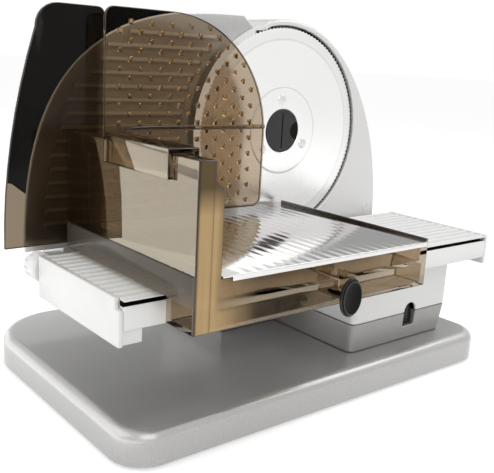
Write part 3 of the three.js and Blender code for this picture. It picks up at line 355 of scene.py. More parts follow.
def flake_paint(shading, shade, metallic, roughness, gloss, shadow=None):
    """Satin metallic paint on moulded plastic: fine flakes under a soft orange peel, darker in a shadow."""
    contrast = palette().flake
    flakes = shading.spread(shading.noise(1500.0, 1.0), 0.35, 0.65)
    cloud = shading.noise(14.0, 3.0)
    peel = shading.noise(520.0, 2.0)
    dark = shading.between(tinted(shade, 1.0 - contrast), tinted(shade, 0.96 - contrast), cloud)
    light = shading.between(tinted(shade, 1.0 + contrast), tinted(shade, 0.97 + contrast), cloud)
    tone = shading.between(dark, light, flakes)
    if shadow is not None:
        tone = shading.between(tone, tinted(shade, 0.35), shadow)
    shading.surface({
        "Base Color": tone,
        "Metallic": metallic,
        "Roughness": roughness - 0.05 + 0.10 * flakes,
        "Coat Weight": gloss,
        "Coat Roughness": 0.08,
        "Normal": shading.relief(peel + 0.5 * flakes, 0.04, 0.0004),
    })


def silver_paint(shading, shadow=None):
    flake_paint(shading, palette().silver, 0.60, 0.36, 0.7, shadow)


def shaded_stop_paint(shading):
    """Silver paint with painted shade on the edge and the margin beside the blade, but not at the plate's tip."""
    sizes = bpy.context.scene.slicer_sizes
    edge = blade_reach() + sizes.stop_gap
    radius, up = about_blade(shading)
    margin = under(radius, edge + sizes.stop_shade_margin, 500.0)
    below_tip = under(up, 0.8 * edge, 60.0)
    flank = under(radius, edge + sizes.stop_shade_flank, 1000.0)
    silver_paint(shading, (margin * below_tip + flank).kept())


def pale_paint(shading):
    flake_paint(shading, palette().pale, 0.30, 0.42, 0.2)


def grey_paint(shading):
    flake_paint(shading, palette().grey, 0.45, 0.40, 0.2)


def moulded(shading, shade, roughness, grain, depth, gloss=0.5):
    """Injection-moulded plastic with a fine spark-eroded grain and a faint flow mottle."""
    mottle = shading.noise(45.0, 3.0)
    texture = shading.noise(grain, 3.0)
    shading.surface({
        "Base Color": shading.between(tinted(shade, 0.95), tinted(shade, 1.03), mottle),
        "Roughness": roughness - 0.06 + 0.12 * texture,
        "Specular IOR Level": gloss,
        "Normal": shading.relief(texture, depth, 0.0003),
    })


def white_plastic(shading):
    moulded(shading, palette().white, 0.36, 900.0, 0.06)


def black_plastic(shading):
    moulded(shading, palette().black, 0.36, 1300.0, 0.10, 0.06)


def switch_plastic(shading):
    moulded(shading, palette().black, 0.16, 1300.0, 0.05, 0.2)


# Dark grey plastic of the blade's lock; on the carriage knob's rim it is a painted highlight
def lock_plastic(shading):
    moulded(shading, tinted(palette().black, 4.0), 0.32, 1300.0, 0.10, 0.3)


def gear_plastic(shading):
    moulded(shading, palette().gear, 0.45, 1100.0, 0.08)


def rubber(shading):
    moulded(shading, palette().rubber, 0.75, 1600.0, 0.25)


def blade_steel(shading):
    """Turned stainless steel: fine rings round the blade's axis, with painted shade at the raised ring's foot and
    on the ground bevel.
    """
    shade, sizes = palette().steel, bpy.context.scene.slicer_sizes
    radius = about_blade(shading)[0]
    rings = shading.node(
        "ShaderNodeTexNoise", {"noise_dimensions": "1D"}, {"W": radius, "Scale": 2600.0, "Detail": 3.0}
    )
    haze = shading.noise(30.0, 2.0)
    ground_from = blade_reach() - sizes.blade_bevel
    # Painted shade: darker at the foot of the raised ring, along the ground bevel's inner edge, and a little over
    # the whole bevel
    foot = band(radius, sizes.blade_ring + 0.0004, 0.0011)
    ground = band(radius, ground_from, 0.0012) + 0.35 * over(radius, ground_from, 1400.0)
    turned_shade = shading.between(tinted(shade, 0.95), tinted(shade, 1.05), rings)
    ring_and_bevel_shade = shading.between(turned_shade, tinted(shade, 0.62), (0.75 * foot + 0.5 * ground).at_most(1.0))
    shading.surface({
        "Base Color": ring_and_bevel_shade,
        "Metallic": 1.0,
        "Roughness": 0.20 + 0.10 * rings + 0.06 * haze,
        "Normal": shading.relief(rings, 0.05, 0.0002),
    })


def brushed(shading, shade, roughness, stretch):
    """Rolled steel sheet: grain along the rolling direction and faint smears."""
    grain = shading.noise(1.0, 3.0, stretch)
    smear = shading.noise(26.0, 3.0)
    shading.surface({
        "Base Color": shading.between(tinted(shade, 0.93), tinted(shade, 1.05), grain),
        "Metallic": 1.0,
        "Roughness": roughness + 0.08 * grain + 0.05 * smear,
        "Normal": shading.relief(grain, 0.03, 0.0002),
    })


def tray_steel(shading):
    brushed(shading, palette().tray, 0.05, (2400.0, 60.0, 2400.0))


def bright_steel(shading):
    brushed(shading, palette().tray, 0.22, (90.0, 1900.0, 1900.0))


def bronze(shading):
    """Sintered bronze: pores between pressed grains."""
    shade = palette().bronze
    pores = shading.spread(shading.noise(2200.0, 2.0), 0.42, 0.62)
    shading.surface({
        "Base Color": shading.between(tinted(shade, 0.55), tinted(shade, 1.1), pores),
        "Metallic": 0.9,
        "Roughness": 0.50 - 0.14 * pores,
        "Normal": shading.relief(pores, 0.2, 0.0002),
    })


def smoked(shading, shade, bending):
    """Clear smoked plastic: flow lines in its tint, wiping marks in its gloss."""
    flow = shading.noise(9.0, 3.0, (1.0, 1.0, 2.2))
    wiped = shading.spread(shading.noise(60.0, 4.0, (1.0, 1.0, 3.0)), 0.45, 0.75)
    return {
        "Base Color": shading.between(tinted(shade, 0.94), tinted(shade, 1.06), flow),
        "Roughness": 0.01 + 0.02 * wiped,
        "IOR": bending,
        "Transmission Weight": 1.0,
    }


def smoked_guard(shading):
    shading.surface(smoked(shading, palette().smoked_dark, 1.2))


def smoked_plastic(shading):
    shading.surface(smoked(shading, palette().smoked, 1.1))


# Painted shade: a near-black plastic for the smoked pieces' edges, in place of the dark lines that refraction
# draws there
def painted_dark_rim(shading):
    moulded(shading, palette().painted_dark_rim, 0.2, 600.0, 0.02)


def smoked_pins(shading):
    shading.surface(smoked(shading, tinted(palette().smoked, 1.15), 1.4))


def smoked_wall(shading):
    """Smoked plastic with a polished skin that mirrors the room."""
    finishes = palette()
    clear = shading.node("ShaderNodeBsdfPrincipled", inputs=smoked(shading, finishes.smoked_light, 1.06))
    wiped = shading.spread(shading.noise(40.0, 4.0, (1.0, 1.0, 3.0)), 0.4, 0.8)
    skin = shading.node(
        "ShaderNodeBsdfGlossy", inputs={"Color": finishes.skin, "Roughness": 0.03 + 0.03 * wiped}
    )
    both = shading.node("ShaderNodeMixShader", inputs={0: finishes.skin_share, 1: clear, 2: skin})
    shading.node("ShaderNodeOutputMaterial", inputs={"Surface": both})


def smoked_carriage(shading):
    """Smoked plastic with painted light: a tan glow painted along its front column and a dull lit strip on its end
    wall above the beam, each with painted shade.
    """
    finishes, sizes = palette(), bpy.context.scene.slicer_sizes
    low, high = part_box("carriage_body")
    skin = 0.0015
    column_width, column_foot, column_top = 0.050, 0.128, 0.192
    shade_band_at, wall_end = 0.0122, 0.0150
    wall_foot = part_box("guide_beam")[1].z + 0.003
    ahead, side, up = shading.parts(shading.places())
    across = side - low.y
    front = over(ahead, high.x - skin, 1000.0)
    column = under(across, column_width, 30.0)
    streaks = shading.noise(1.0, 2.0, (60.0, 420.0, 9.0))
    # Painted shade in the column's glow: a dark band across it, and darker past the end wall's edge
    past_wall = over(up, column_foot, 300.0) * over(across, wall_end, 200.0)
    shade_bands = 0.7 * band(across, shade_band_at, 0.0011) + 0.6 * past_wall
    tone = shading.between(tinted(finishes.glow, 0.9), tinted(finishes.glow, 1.2), streaks)
    tone = shading.between(tone, tinted(finishes.glow, 0.42), shade_bands.kept())
    # Painted shade: the column's glow darkens towards its top
    tone = shading.between(tone, tinted(finishes.glow, 0.16), 0.92 * over(up, column_top, 60.0))
    # Painted shade: a near-black line along the column's left edge
    tone = shading.between(tone, finishes.painted_dark_rim, band(across, 0.0009, 0.0018))
    # Painted light: a dull tan strip on the end wall's outer face, between the beam and the polished wall, with a
    # painted dark line along its top
    below_deck = under(across, skin, 1000.0) * under(up, sizes.deck_height, 1000.0)
    deck = below_deck * over(up, wall_foot, 500.0)
    tone = shading.between(tone, tinted(finishes.smoked_light, 0.23), deck)
    tone = shading.between(tone, finishes.painted_dark_rim, deck * band(up, sizes.deck_height - 0.0006, 0.0010))
    clear = shading.node("ShaderNodeBsdfPrincipled", inputs=smoked(shading, finishes.smoked_light, 1.06))
    # The painted light itself: an opaque tan surface mixed over the clear plastic where the glow and the strip are
    # painted
    lit = shading.node("ShaderNodeBsdfPrincipled", inputs={
        "Base Color": tone,
        "Roughness": 0.15 + 0.1 * streaks,
        "Specular IOR Level": 0.15,
    })
    painted_light_share = (0.85 * front * column + 0.7 * deck).kept()
    both = shading.node("ShaderNodeMixShader", inputs={0: painted_light_share, 1: clear, 2: lit})
    shading.node("ShaderNodeOutputMaterial", inputs={"Surface": both})


def finish(maker):
    """The finish that a maker builds, made once."""
    if maker not in finish.made:
        finish.made[maker] = bpy.data.materials.new(maker.__name__)
        maker(Shading(finish.made[maker]))
    return finish.made[maker]


finish.made = {}


def clear_selection():
    if bpy.context.object and bpy.context.object.mode != "OBJECT":
        bpy.ops.object.mode_set(mode="OBJECT")
    bpy.ops.object.select_all(action="DESELECT")


def take_up(piece):
    """Makes a piece the only one that operators act on."""
    clear_selection()
    piece.select_set(True)
    bpy.context.view_layer.objects.active = piece


def context_piece(name):
    """The active piece, named."""
    piece = bpy.context.object
    piece.name = piece.data.name = name
    return piece


def started(name):
    """Names the primitive that was just added, puts its place into its mesh and opens it for editing."""
    piece = context_piece(name)
    bpy.ops.object.transform_apply(location=True, rotation=True, scale=True)
    bpy.ops.object.mode_set(mode="EDIT")
    return piece


def pick(piece, kind, test):
    """Selects, in edit mode, the elements of one kind that pass a test."""
    bpy.ops.mesh.select_mode(type=kind)
    bpy.ops.mesh.select_all(action="DESELECT")
    shape = bmesh.from_edit_mesh(piece.data)
    for element in {"VERT": shape.verts, "EDGE": shape.edges, "FACE": shape.faces}[kind]:
        element.select_set(test(element))
    shape.select_flush_mode()
    bmesh.update_edit_mesh(piece.data)


def closed_up(piece, smooth=35.0):
    """Merges doubles, points the faces outwards and shades the piece."""
    take_up(piece)
    bpy.ops.object.mode_set(mode="EDIT")
    bpy.ops.mesh.select_all(action="SELECT")
    bpy.ops.mesh.remove_doubles(threshold=1e-6)
    bpy.ops.mesh.normals_make_consistent(inside=False)
    bpy.ops.object.mode_set(mode="OBJECT")
    bpy.ops.object.shade_smooth_by_angle(angle=math.radians(smooth))
    return piece


def coated(piece, *materials):
    """Gives a piece its finishes, one in each slot."""
    piece.data.materials.clear()
    for material in materials:
        piece.data.materials.append(material)


def recoated(piece, maker, test):
    """Gives the faces that pass a test another finish."""
    material = finish(maker)
    if material.name not in piece.data.materials:
        piece.data.materials.append(material)
    take_up(piece)
    bpy.ops.object.mode_set(mode="EDIT")
    pick(piece, "FACE", test)
    piece.active_material_index = piece.data.materials.find(material.name)
    bpy.ops.object.material_slot_assign()
    clear_selection()
    return piece


def fitted(piece, slot, *nodes):
    """Lets a finished piece ride and stand for the CAD nodes that it dresses."""
    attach(piece, BODY_OF[nodes[0]])
    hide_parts(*nodes)
    clear_selection()
    return piece


def rounded(piece, width, angle, smooth=40.0):
    """Rounds a piece's sharp edges, which take its second finish if it has one, and shades its curves."""
    take_up(piece)
    bevel = piece.modifiers.new("Edge rounding", "BEVEL")
    bevel.width = width
    bevel.segments = 2
    bevel.limit_method = "ANGLE"
    bevel.angle_limit = math.radians(angle)
    bevel.use_clamp_overlap = False
    bevel.material = len(piece.data.materials) - 1
    bpy.ops.object.modifier_apply(modifier=bevel.name)
    bpy.ops.object.shade_smooth_by_angle(angle=math.radians(smooth))
    return piece


def flat_shaded(piece):
    """Weights a piece's shading by its faces' sizes, so that flat ones stay flat beside rounded edges."""
    take_up(piece)
    weights = piece.modifiers.new("Flat faces", "WEIGHTED_NORMAL")
    weights.keep_sharp = True
    bpy.ops.object.modifier_apply(modifier=weights.name)
    clear_selection()


def copied(node, name):
    """A copy of a CAD node's solid, with its loose triangles merged into whole faces."""
    piece = bpy.data.objects.new(name, NODES[node].data.copy())
    piece.data.name = name
    bpy.context.scene.collection.objects.link(piece)
    take_up(piece)
    bpy.ops.object.mode_set(mode="EDIT")
    bpy.ops.mesh.select_all(action="SELECT")
    bpy.ops.mesh.remove_doubles(threshold=2e-6)
    bpy.ops.mesh.dissolve_limited(angle_limit=math.radians(0.8))
    bpy.ops.object.mode_set(mode="OBJECT")
    return piece


def dressed(node, name, maker, slot, edge, angle=35.0, rim=None):
    """A CAD node's solid with rounded edges and its finish."""
    piece = copied(node, name)
    coated(piece, finish(maker), finish(rim or maker))
    rounded(piece, edge, angle)
    return fitted(piece, slot, node)


def turned(name, centre, profile, steps):
    """A turned piece: a circle drawn out ring by ring, each at a distance along X and with its radius."""
    clear_selection()
    (start, radius), rest = profile[0], profile[1:]
    bpy.ops.mesh.primitive_circle_add(
        vertices=steps,
        radius=radius,
        location=centre + Vector((start, 0.0, 0.0)),
        rotation=(0.0, math.pi / 2, 0.0),
    )
    piece = started(name)
    bpy.ops.mesh.select_all(action="SELECT")
    for along, reach in rest:
        scale = reach / radius
        bpy.ops.mesh.extrude_edges_move()
        bpy.ops.transform.translate(value=(along - start, 0.0, 0.0))
        bpy.ops.transform.resize(
            value=(1.0, scale, scale), center_override=centre + Vector((along, 0.0, 0.0))
        )
        start, radius = along, reach
    bpy.ops.object.mode_set(mode="OBJECT")
    return piece


def capped(piece):
    """Fills the open rings of a turned piece."""
    take_up(piece)
    bpy.ops.object.mode_set(mode="EDIT")
    pick(piece, "EDGE", lambda edge: edge.is_boundary)
    bpy.ops.mesh.edge_face_add()
    bpy.ops.object.mode_set(mode="OBJECT")
    return piece


def copied_to(first, name, shift):
    """A copy of a modelled piece with a mesh of its own, moved."""
    piece = bpy.data.objects.new(name, first.data.copy())
    piece.data.name = name
    piece.data.transform(Matrix.Translation(shift))
    bpy.context.scene.collection.objects.link(piece)
    return piece


class SLICER_OT_base(Operator):
    """Models the base's shell with its rounded corners and top edge"""

    bl_idname = "slicer.base"
    bl_label = "Base"

    def execute(self, context):
        sizes = context.scene.slicer_sizes
        low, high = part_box("base_plate")
        middle = (low + high) / 2
        clear_selection()
        bpy.ops.mesh.primitive_cube_add(size=1.0, location=middle, scale=high - low)
        piece = started("base_shell")

        def upright(edge):
            first, second = (vert.co for vert in edge.verts)
            return abs(first.z - second.z) > 0.5 * (high.z - low.z)

        pick(piece, "EDGE", lambda edge: upright(edge) and edge.verts[0].co.x > middle.x)
        bpy.ops.mesh.bevel(offset=sizes.base_front_corner, segments=12, affect="EDGES")
        pick(piece, "EDGE", lambda edge: upright(edge) and all(
            abs(vert.co.x - low.x) < 1e-4 and min(vert.co.y - low.y, high.y - vert.co.y) < 1e-4
            for vert in edge.verts
        ))
        bpy.ops.mesh.bevel(offset=sizes.base_back_corner, segments=18, affect="EDGES")
        pick(piece, "EDGE", lambda edge: all(vert.co.z > high.z - 1e-5 for vert in edge.verts))
        bpy.ops.mesh.bevel(offset=sizes.base_round, segments=8, affect="EDGES")
        pick(piece, "FACE", lambda face: face.normal.z < -0.9)
        bpy.ops.mesh.inset(thickness=sizes.base_wall)
        bpy.ops.mesh.extrude_region_move(
            TRANSFORM_OT_translate={"value": (0.0, 0.0, high.z - low.z - sizes.base_roof)}
        )
        coated(closed_up(piece), finish(silver_paint))
        fitted(piece, "silver_paint", "base_plate")
        coated(NODES["base_bottom"], finish(black_plastic))
        return {"FINISHED"}


class SLICER_OT_feet(Operator):
    """Rounds the four rubber feet"""

    bl_idname = "slicer.feet"
    bl_label = "Feet"

    def execute(self, context):
        edge = context.scene.slicer_sizes.foot_edge
        for node in ("foot_front_left", "foot_front_right", "foot_back_left", "foot_back_right"):
            dressed(node, node.replace("foot", "rubber_foot"), rubber, "rubber", edge, 25.0)
        return {"FINISHED"}


class SLICER_OT_housing(Operator):
    """Rounds the painted housing, paints shade into its recess, draws in its hood and adds the screw cover"""

    bl_idname = "slicer.housing"
    bl_label = "Housing"

    def execute(self, context):
        sizes = context.scene.slicer_sizes
        shell = dressed("motor_housing", "housing_shell", pale_paint, "pale_paint", sizes.paint_edge)
        self.shade_recess(shell, blade_reach() + sizes.recess_shade_reach)
        back = dressed("rear_cover", "housing_back", pale_paint, "pale_paint", sizes.paint_edge)
        for piece, seam in ((shell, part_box("motor_housing")[0].x), (back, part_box("rear_cover")[1].x)):
            self.draw_in_hood(piece, sizes.hood_gap)
            self.refill_seam(piece, seam)
        foot = dressed("lower_housing", "housing_foot", grey_paint, "grey_paint", sizes.paint_edge)
        for piece in (shell, back, foot):
            flat_shaded(piece)
        dressed("cord_gland", "cord_bush", rubber, "rubber", sizes.small_edge)
        self.model_cover(sizes.cover_radius)
        return {"FINISHED"}

    def model_cover(self, radius):
        """A round cover with a raised rim and a groove inside it, sunk into the housing's face."""
        sunk, groove, crown, rim = -0.0008, 0.0002, 0.0003, 0.0005
        profile = [
            (sunk, radius), (groove, radius), (rim, radius - 0.0004), (rim, radius - 0.0011),
            (groove, radius - 0.0014), (groove, radius - 0.0018), (crown, LAST_RING),
        ]
        cover = turned("screw_cover", BLADE_AXIS + SCREW_COVER_AT, profile, 48)
        coated(closed_up(capped(cover)), finish(pale_paint))
        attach(cover, "frame")

    def draw_in_hood(self, piece, gap):
        """Draws the hood's end in, clear of the stop plate's tip."""
        end, foot = BLADE_AXIS.y + HOOD_END_Y, BLADE_AXIS.z + HOOD_FOOT_Z
        take_up(piece)
        bpy.ops.object.mode_set(mode="EDIT")
        pick(piece, "VERT", lambda vert: vert.co.y < end and vert.co.z > foot)
        bpy.ops.transform.translate(value=(0.0, gap, 0.0))
        clear_selection()

    def refill_seam(self, piece, seam):
        """Fills the flat end at the seam anew, so that no face of it spans the corner that was drawn in."""

        def at_seam(face):
            return abs(face.normal.x) > 0.99 and abs(face.calc_center_median().x - seam) < 0.0001

        take_up(piece)
        bpy.ops.object.mode_set(mode="EDIT")
        pick(piece, "FACE", at_seam)
        bpy.ops.mesh.delete(type="FACE")
        pick(piece, "EDGE", lambda edge: edge.is_boundary)
        bpy.ops.mesh.fill(use_beauty=False)
        bpy.ops.mesh.select_all(action="SELECT")
        bpy.ops.mesh.normals_make_consistent(inside=False)
        clear_selection()

    def shade_recess(self, shell, reach):
        """Paints the recess behind the blade black as painted shade, from a little inside its rim."""
        rim = BLADE_AXIS + Vector((RECESS_RIM_X, 0.0, 0.0))

        def inside(face):
            place = face.calc_center_median() - BLADE_AXIS
            deep = RECESS_FLOOR_X <= place.x <= RECESS_MOUTH_X
            if not deep or math.hypot(place.y, place.z) > reach:
                return False
            inwards = Vector((0.0, -place.y, -place.z)).normalized()
            return face.normal.x > 0.7 or face.normal.dot(inwards) > 0.7

        take_up(shell)
        bpy.ops.object.mode_set(mode="EDIT")
        pick(shell, "FACE", inside)
        bpy.ops.mesh.bisect(plane_co=rim, plane_no=(1.0, 0.0, 0.0))

        def in_painted_shade(face):
            place = face.calc_center_median() - BLADE_AXIS
            return inside(face) and place.x < RECESS_RIM_X and (place.y > RECESS_OPEN_Y or place.z < 0.0)

        # Painted shade: the recess's walls and floor inside its rim turn black
        recoated(shell, black_plastic, in_painted_shade)


class SLICER_OT_beam(Operator):
    """Rounds the ribbed guide beam, paints its slot black as painted shade, and rounds its two end caps"""

    bl_idname = "slicer.beam"
    bl_label = "Guide beam"

    def execute(self, context):
        sizes = context.scene.slicer_sizes
        beam = dressed("guide_beam", "ribbed_beam", white_plastic, "white_plastic", sizes.plastic_edge)
        top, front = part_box("guide_beam")[1].z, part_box("guide_beam")[1].x
        # Painted shade: the slot's faces take black plastic
        recoated(beam, black_plastic, lambda face: self.in_shaded_slot(face.calc_center_median(), front, top))
        dressed("beam_cap_left", "left_cap", white_plastic, "white_plastic", sizes.cap_edge)
        dressed("beam_cap_right", "right_cap", white_plastic, "white_plastic", sizes.cap_edge)
        return {"FINISHED"}

    def in_shaded_slot(self, place, front, top):
        """True inside the slot for the carriage's runners, under the top's front edge."""
        mouth, end, roof, floor = 0.0006, 0.0061, 0.0018, 0.0060
        return mouth < front - place.x < end and roof < top - place.z < floor


class SLICER_OT_blade(Operator):
    """Models the round blade with its ground edge, scallops, raised ring and rivets"""

    bl_idname = "slicer.blade"
    bl_label = "Blade"

    def execute(self, context):
        sizes = context.scene.slicer_sizes
        low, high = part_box("blade")
        outer = blade_reach()
        centre = Vector((low.x, BLADE_AXIS.y, BLADE_AXIS.z))
        rise, lock_gap, chamfer = 0.0006, 0.0003, 0.0004
        thick = high.x - low.x
        land = thick - rise
        hole = (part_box("blade_lock")[1].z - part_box("blade_lock")[0].z) / 2 + lock_gap
        ring = sizes.blade_ring
        bevel = outer - sizes.blade_bevel
        profile = [
            (0.0, hole), (thick - chamfer, hole), (thick, hole + chamfer), (thick, ring - 0.0012),
            (thick - 0.0001, ring - 0.0006), (land + 0.0001, ring + 0.0004), (land, ring + 0.0010),
            (land, bevel - 0.0008), (land - 0.0001, bevel), (sizes.blade_rim + 0.0004, outer - 0.0024),
            (sizes.blade_rim, outer), (0.0, outer), (0.0, ring), (0.0, hole),
        ]
        piece = turned("toothed_blade", centre, profile, 4 * sizes.blade_teeth)
        take_up(piece)
        bpy.ops.object.mode_set(mode="EDIT")
        step = math.tau / (4 * sizes.blade_teeth)
        for phases, depth in (((1, 3), 0.7), ((2,), 1.0)):

            def in_scallop(vert):
                across, up = vert.co.y - centre.y, vert.co.z - centre.z
                if math.hypot(across, up) < outer - 1e-5:
                    return False
                return round(math.atan2(up, across) / step) % 4 in phases

            pick(piece, "VERT", in_scallop)
            scale = 1.0 - depth * sizes.tooth_depth / outer
            bpy.ops.transform.resize(value=(1.0, scale, scale), center_override=centre)
        bpy.ops.object.mode_set(mode="OBJECT")
        coated(closed_up(piece, 20.0), finish(blade_steel))
        fitted(piece, "blade_steel", "blade")
        self.model_rivets()
        return {"FINISHED"}

    def model_rivets(self):
        """Models one flat-headed rivet and copies it to the other two places."""
        nodes = [f"blade_rivet_{number}" for number in (1, 2, 3)]
        middles = [(low + high) / 2 for low, high in map(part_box, nodes)]
        low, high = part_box(nodes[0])
        stem, head, front = 0.0022, (high.z - low.z) / 2, high.x - low.x
        under_head = front - 0.001
        profile = [
            (0.0, stem), (under_head, stem), (under_head, head), (front - 0.0006, head),
            (front - 0.0003, head - 0.0006), (front - 0.0001, head - 0.0016), (front, head - 0.0028),
        ]
        first = turned("rivet_1", Vector((low.x, middles[0].y, middles[0].z)), profile, 40)
        coated(closed_up(capped(first)), finish(bright_steel))
        rivets = [
            first,
            copied_to(first, "rivet_2", middles[1] - middles[0]),
            copied_to(first, "rivet_3", middles[2] - middles[0]),
        ]
        for rivet, node in zip(rivets, nodes):
            fitted(rivet, "bright_steel", node)


class SLICER_OT_blade_lock(Operator):
    """Models the blade's quarter-turn lock with its slot and finger notch"""

    bl_idname = "slicer.blade_lock"
    bl_label = "Blade lock"

    def execute(self, context):
        sizes = context.scene.slicer_sizes
        low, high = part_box("blade_lock")
        radius = (high.z - low.z) / 2
        centre = Vector((high.x, BLADE_AXIS.y, BLADE_AXIS.z))
        back, stem = -sizes.lock_thick, sizes.lock_stem
        chamfer, rim, dish = 0.0005, 0.0022, 0.0003
        profile = [
            (low.x - high.x, stem), (back, stem), (back, radius), (-chamfer, radius), (0.0, radius - chamfer),
            (0.0, radius - rim), (-dish, radius - rim - dish), (-dish, LAST_RING),
        ]
        lock = turned("quarter_turn_lock", centre, profile, 96)
        coated(closed_up(capped(lock)), finish(lock_plastic))
        slot_depth, slot_end, notch_end = 2 * sizes.lock_slot, 0.0035, 0.0015
        clear_selection()
        bpy.ops.mesh.primitive_cube_add(
            size=1.0, location=centre, scale=(slot_depth, sizes.lock_slot, 2 * (radius - slot_end))
        )
        self.cut(lock)
        clear_selection()
        bpy.ops.mesh.primitive_cylinder_add(
            vertices=48,
            radius=sizes.lock_notch,
            depth=slot_depth,
            location=centre + Vector((0.0, radius - notch_end, 0.0)),
            rotation=(0.0, math.pi / 2, 0.0),
        )
        self.cut(lock)
        bpy.ops.object.shade_smooth_by_angle(angle=math.radians(30.0))
        pocket_floor, pocket_mouth, flank = low.x + 0.012, high.x - 0.0004, radius - 0.0002

        def in_shaded_pocket(face):
            place = face.calc_center_median()
            return pocket_floor < place.x < pocket_mouth and math.hypot(*(place - centre).yz) < flank

        # Painted shade: the slot and the finger notch are black inside the grey lock
        recoated(lock, black_plastic, in_shaded_pocket)
        fitted(lock, "black_plastic", "blade_lock")
        return {"FINISHED"}

    def cut(self, lock):
        """Cuts the form that was just added out of the lock."""
        form = bpy.context.object
        bpy.ops.object.transform_apply(location=True, rotation=True, scale=True)
        take_up(lock)
        cutting = lock.modifiers.new("Cut", "BOOLEAN")
        cutting.operation = "DIFFERENCE"
        cutting.object = form
        bpy.ops.object.modifier_apply(modifier=cutting.name)
        bpy.data.objects.remove(form)


class SLICER_OT_stop_plate(Operator):
    """Rounds the stop plate and its dial and arm; the plate has a painted highlight on its outline and rounded
    edges, painted light and shade on its ribs' upper and lower slopes, and painted shade beside the blade
    """

    bl_idname = "slicer.stop_plate"
    bl_label = "Stop plate"

    def execute(self, context):
        sizes = context.scene.slicer_sizes
        plate = dressed(
            "stop_plate",
            "ribbed_stop_plate",
            shaded_stop_paint,
            "silver_paint",
            sizes.stop_edge,
            60.0,
            # Painted highlight: the plate's rounded edges take white plastic
            rim=white_plastic,
        )
        behind_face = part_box("stop_plate")[1].x - 0.0012
        flank = blade_reach() + sizes.stop_gap + sizes.stop_shade_flank

        def shaded_beside_blade(face):
            place = face.calc_center_median() - BLADE_AXIS
            return math.hypot(place.y, place.z) < flank

        def outline(face):
            return abs(face.normal.x) < 0.3 and face.calc_center_median().x < behind_face

        # Painted highlight: the outline's side faces take white plastic
        recoated(plate, white_plastic, outline)
        # Painted light and shade on the ribs: pale paint on the upper slopes, grey paint on the lower ones
        recoated(plate, pale_paint, lambda face: face.normal.x > 0.5 and face.normal.z > 0.15)
        recoated(plate, grey_paint, lambda face: face.normal.x > 0.5 and face.normal.z < -0.15)
        # Painted shade: the faces beside the blade take the shaded silver paint
        recoated(plate, shaded_stop_paint, shaded_beside_blade)
        dressed("thickness_dial", "notched_dial", white_plastic, "white_plastic", sizes.dial_edge)
        dressed("adjust_arm", "stop_arm", grey_paint, "grey_paint", sizes.small_edge)
        return {"FINISHED"}


class SLICER_OT_carriage(Operator):
    """Rounds the smoked carriage, polishes its end wall, and rounds the thumb guard and the steel tray"""

    bl_idname = "slicer.carriage"
    bl_label = "Carriage"

    def execute(self, context):
        sizes = context.scene.slicer_sizes
        edge = sizes.smoked_edge
        # Painted shade: the body's rounded edges take the near-black rim
        body = dressed(
            "carriage_body", "smoked_carriage", smoked_carriage, "smoked_plastic", edge, rim=painted_dark_rim
        )
        low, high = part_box("carriage_body")

        # The inner edges keep the carriage's own finish, without the painted dark rim
        def inner_edge(face):
            place = face.calc_center_median()
            depths = [min(place[axis] - low[axis], high[axis] - place[axis]) for axis in range(3)]
            return face.material_index == 1 and min(depths) > 2 * edge

        recoated(body, smoked_carriage, inner_edge)

        def outer_wall(face):
            return face.normal.y < -0.9 and face.calc_center_median().y < low.y + 0.0005

        take_up(body)
        bpy.ops.object.mode_set(mode="EDIT")
        pick(body, "FACE", outer_wall)
        bpy.ops.mesh.bisect(plane_co=(0.0, 0.0, sizes.deck_height), plane_no=(0.0, 0.0, 1.0))
        recoated(
            body,
            smoked_wall,
            lambda face: outer_wall(face) and face.calc_center_median().z > sizes.deck_height,
        )
        rim_side, rim_foot = high.y - 0.004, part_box("steel_tray")[1].z - 0.001

        # Painted shade: the tray's rim strip along the back takes the near-black rim
        def tray_rim(face):
            place = face.calc_center_median()
            return place.y > rim_side and place.z > rim_foot

        recoated(body, painted_dark_rim, tray_rim)
        # Painted shade: the thumb guard's rounded edges take the near-black rim
        dressed("thumb_guard", "smoked_guard", smoked_guard, "smoked_plastic", edge, rim=painted_dark_rim)
        dressed("steel_tray", "fluted_tray", tray_steel, "bright_steel", sizes.steel_edge, 50.0)
        return {"FINISHED"}


class SLICER_OT_carriage_knob(Operator):
    """Rounds the carriage's oval lock knob, with a painted highlight of lighter plastic on its rounded rim"""

    bl_idname = "slicer.carriage_knob"
    bl_label = "Carriage knob"

    def execute(self, context):
        edge = context.scene.slicer_sizes.knob_edge
        # Painted highlight: the knob's rounded rim takes the lighter lock plastic
        dressed("carriage_knob", "lock_knob", black_plastic, "black_plastic", edge, 30.0, rim=lock_plastic)
        return {"FINISHED"}


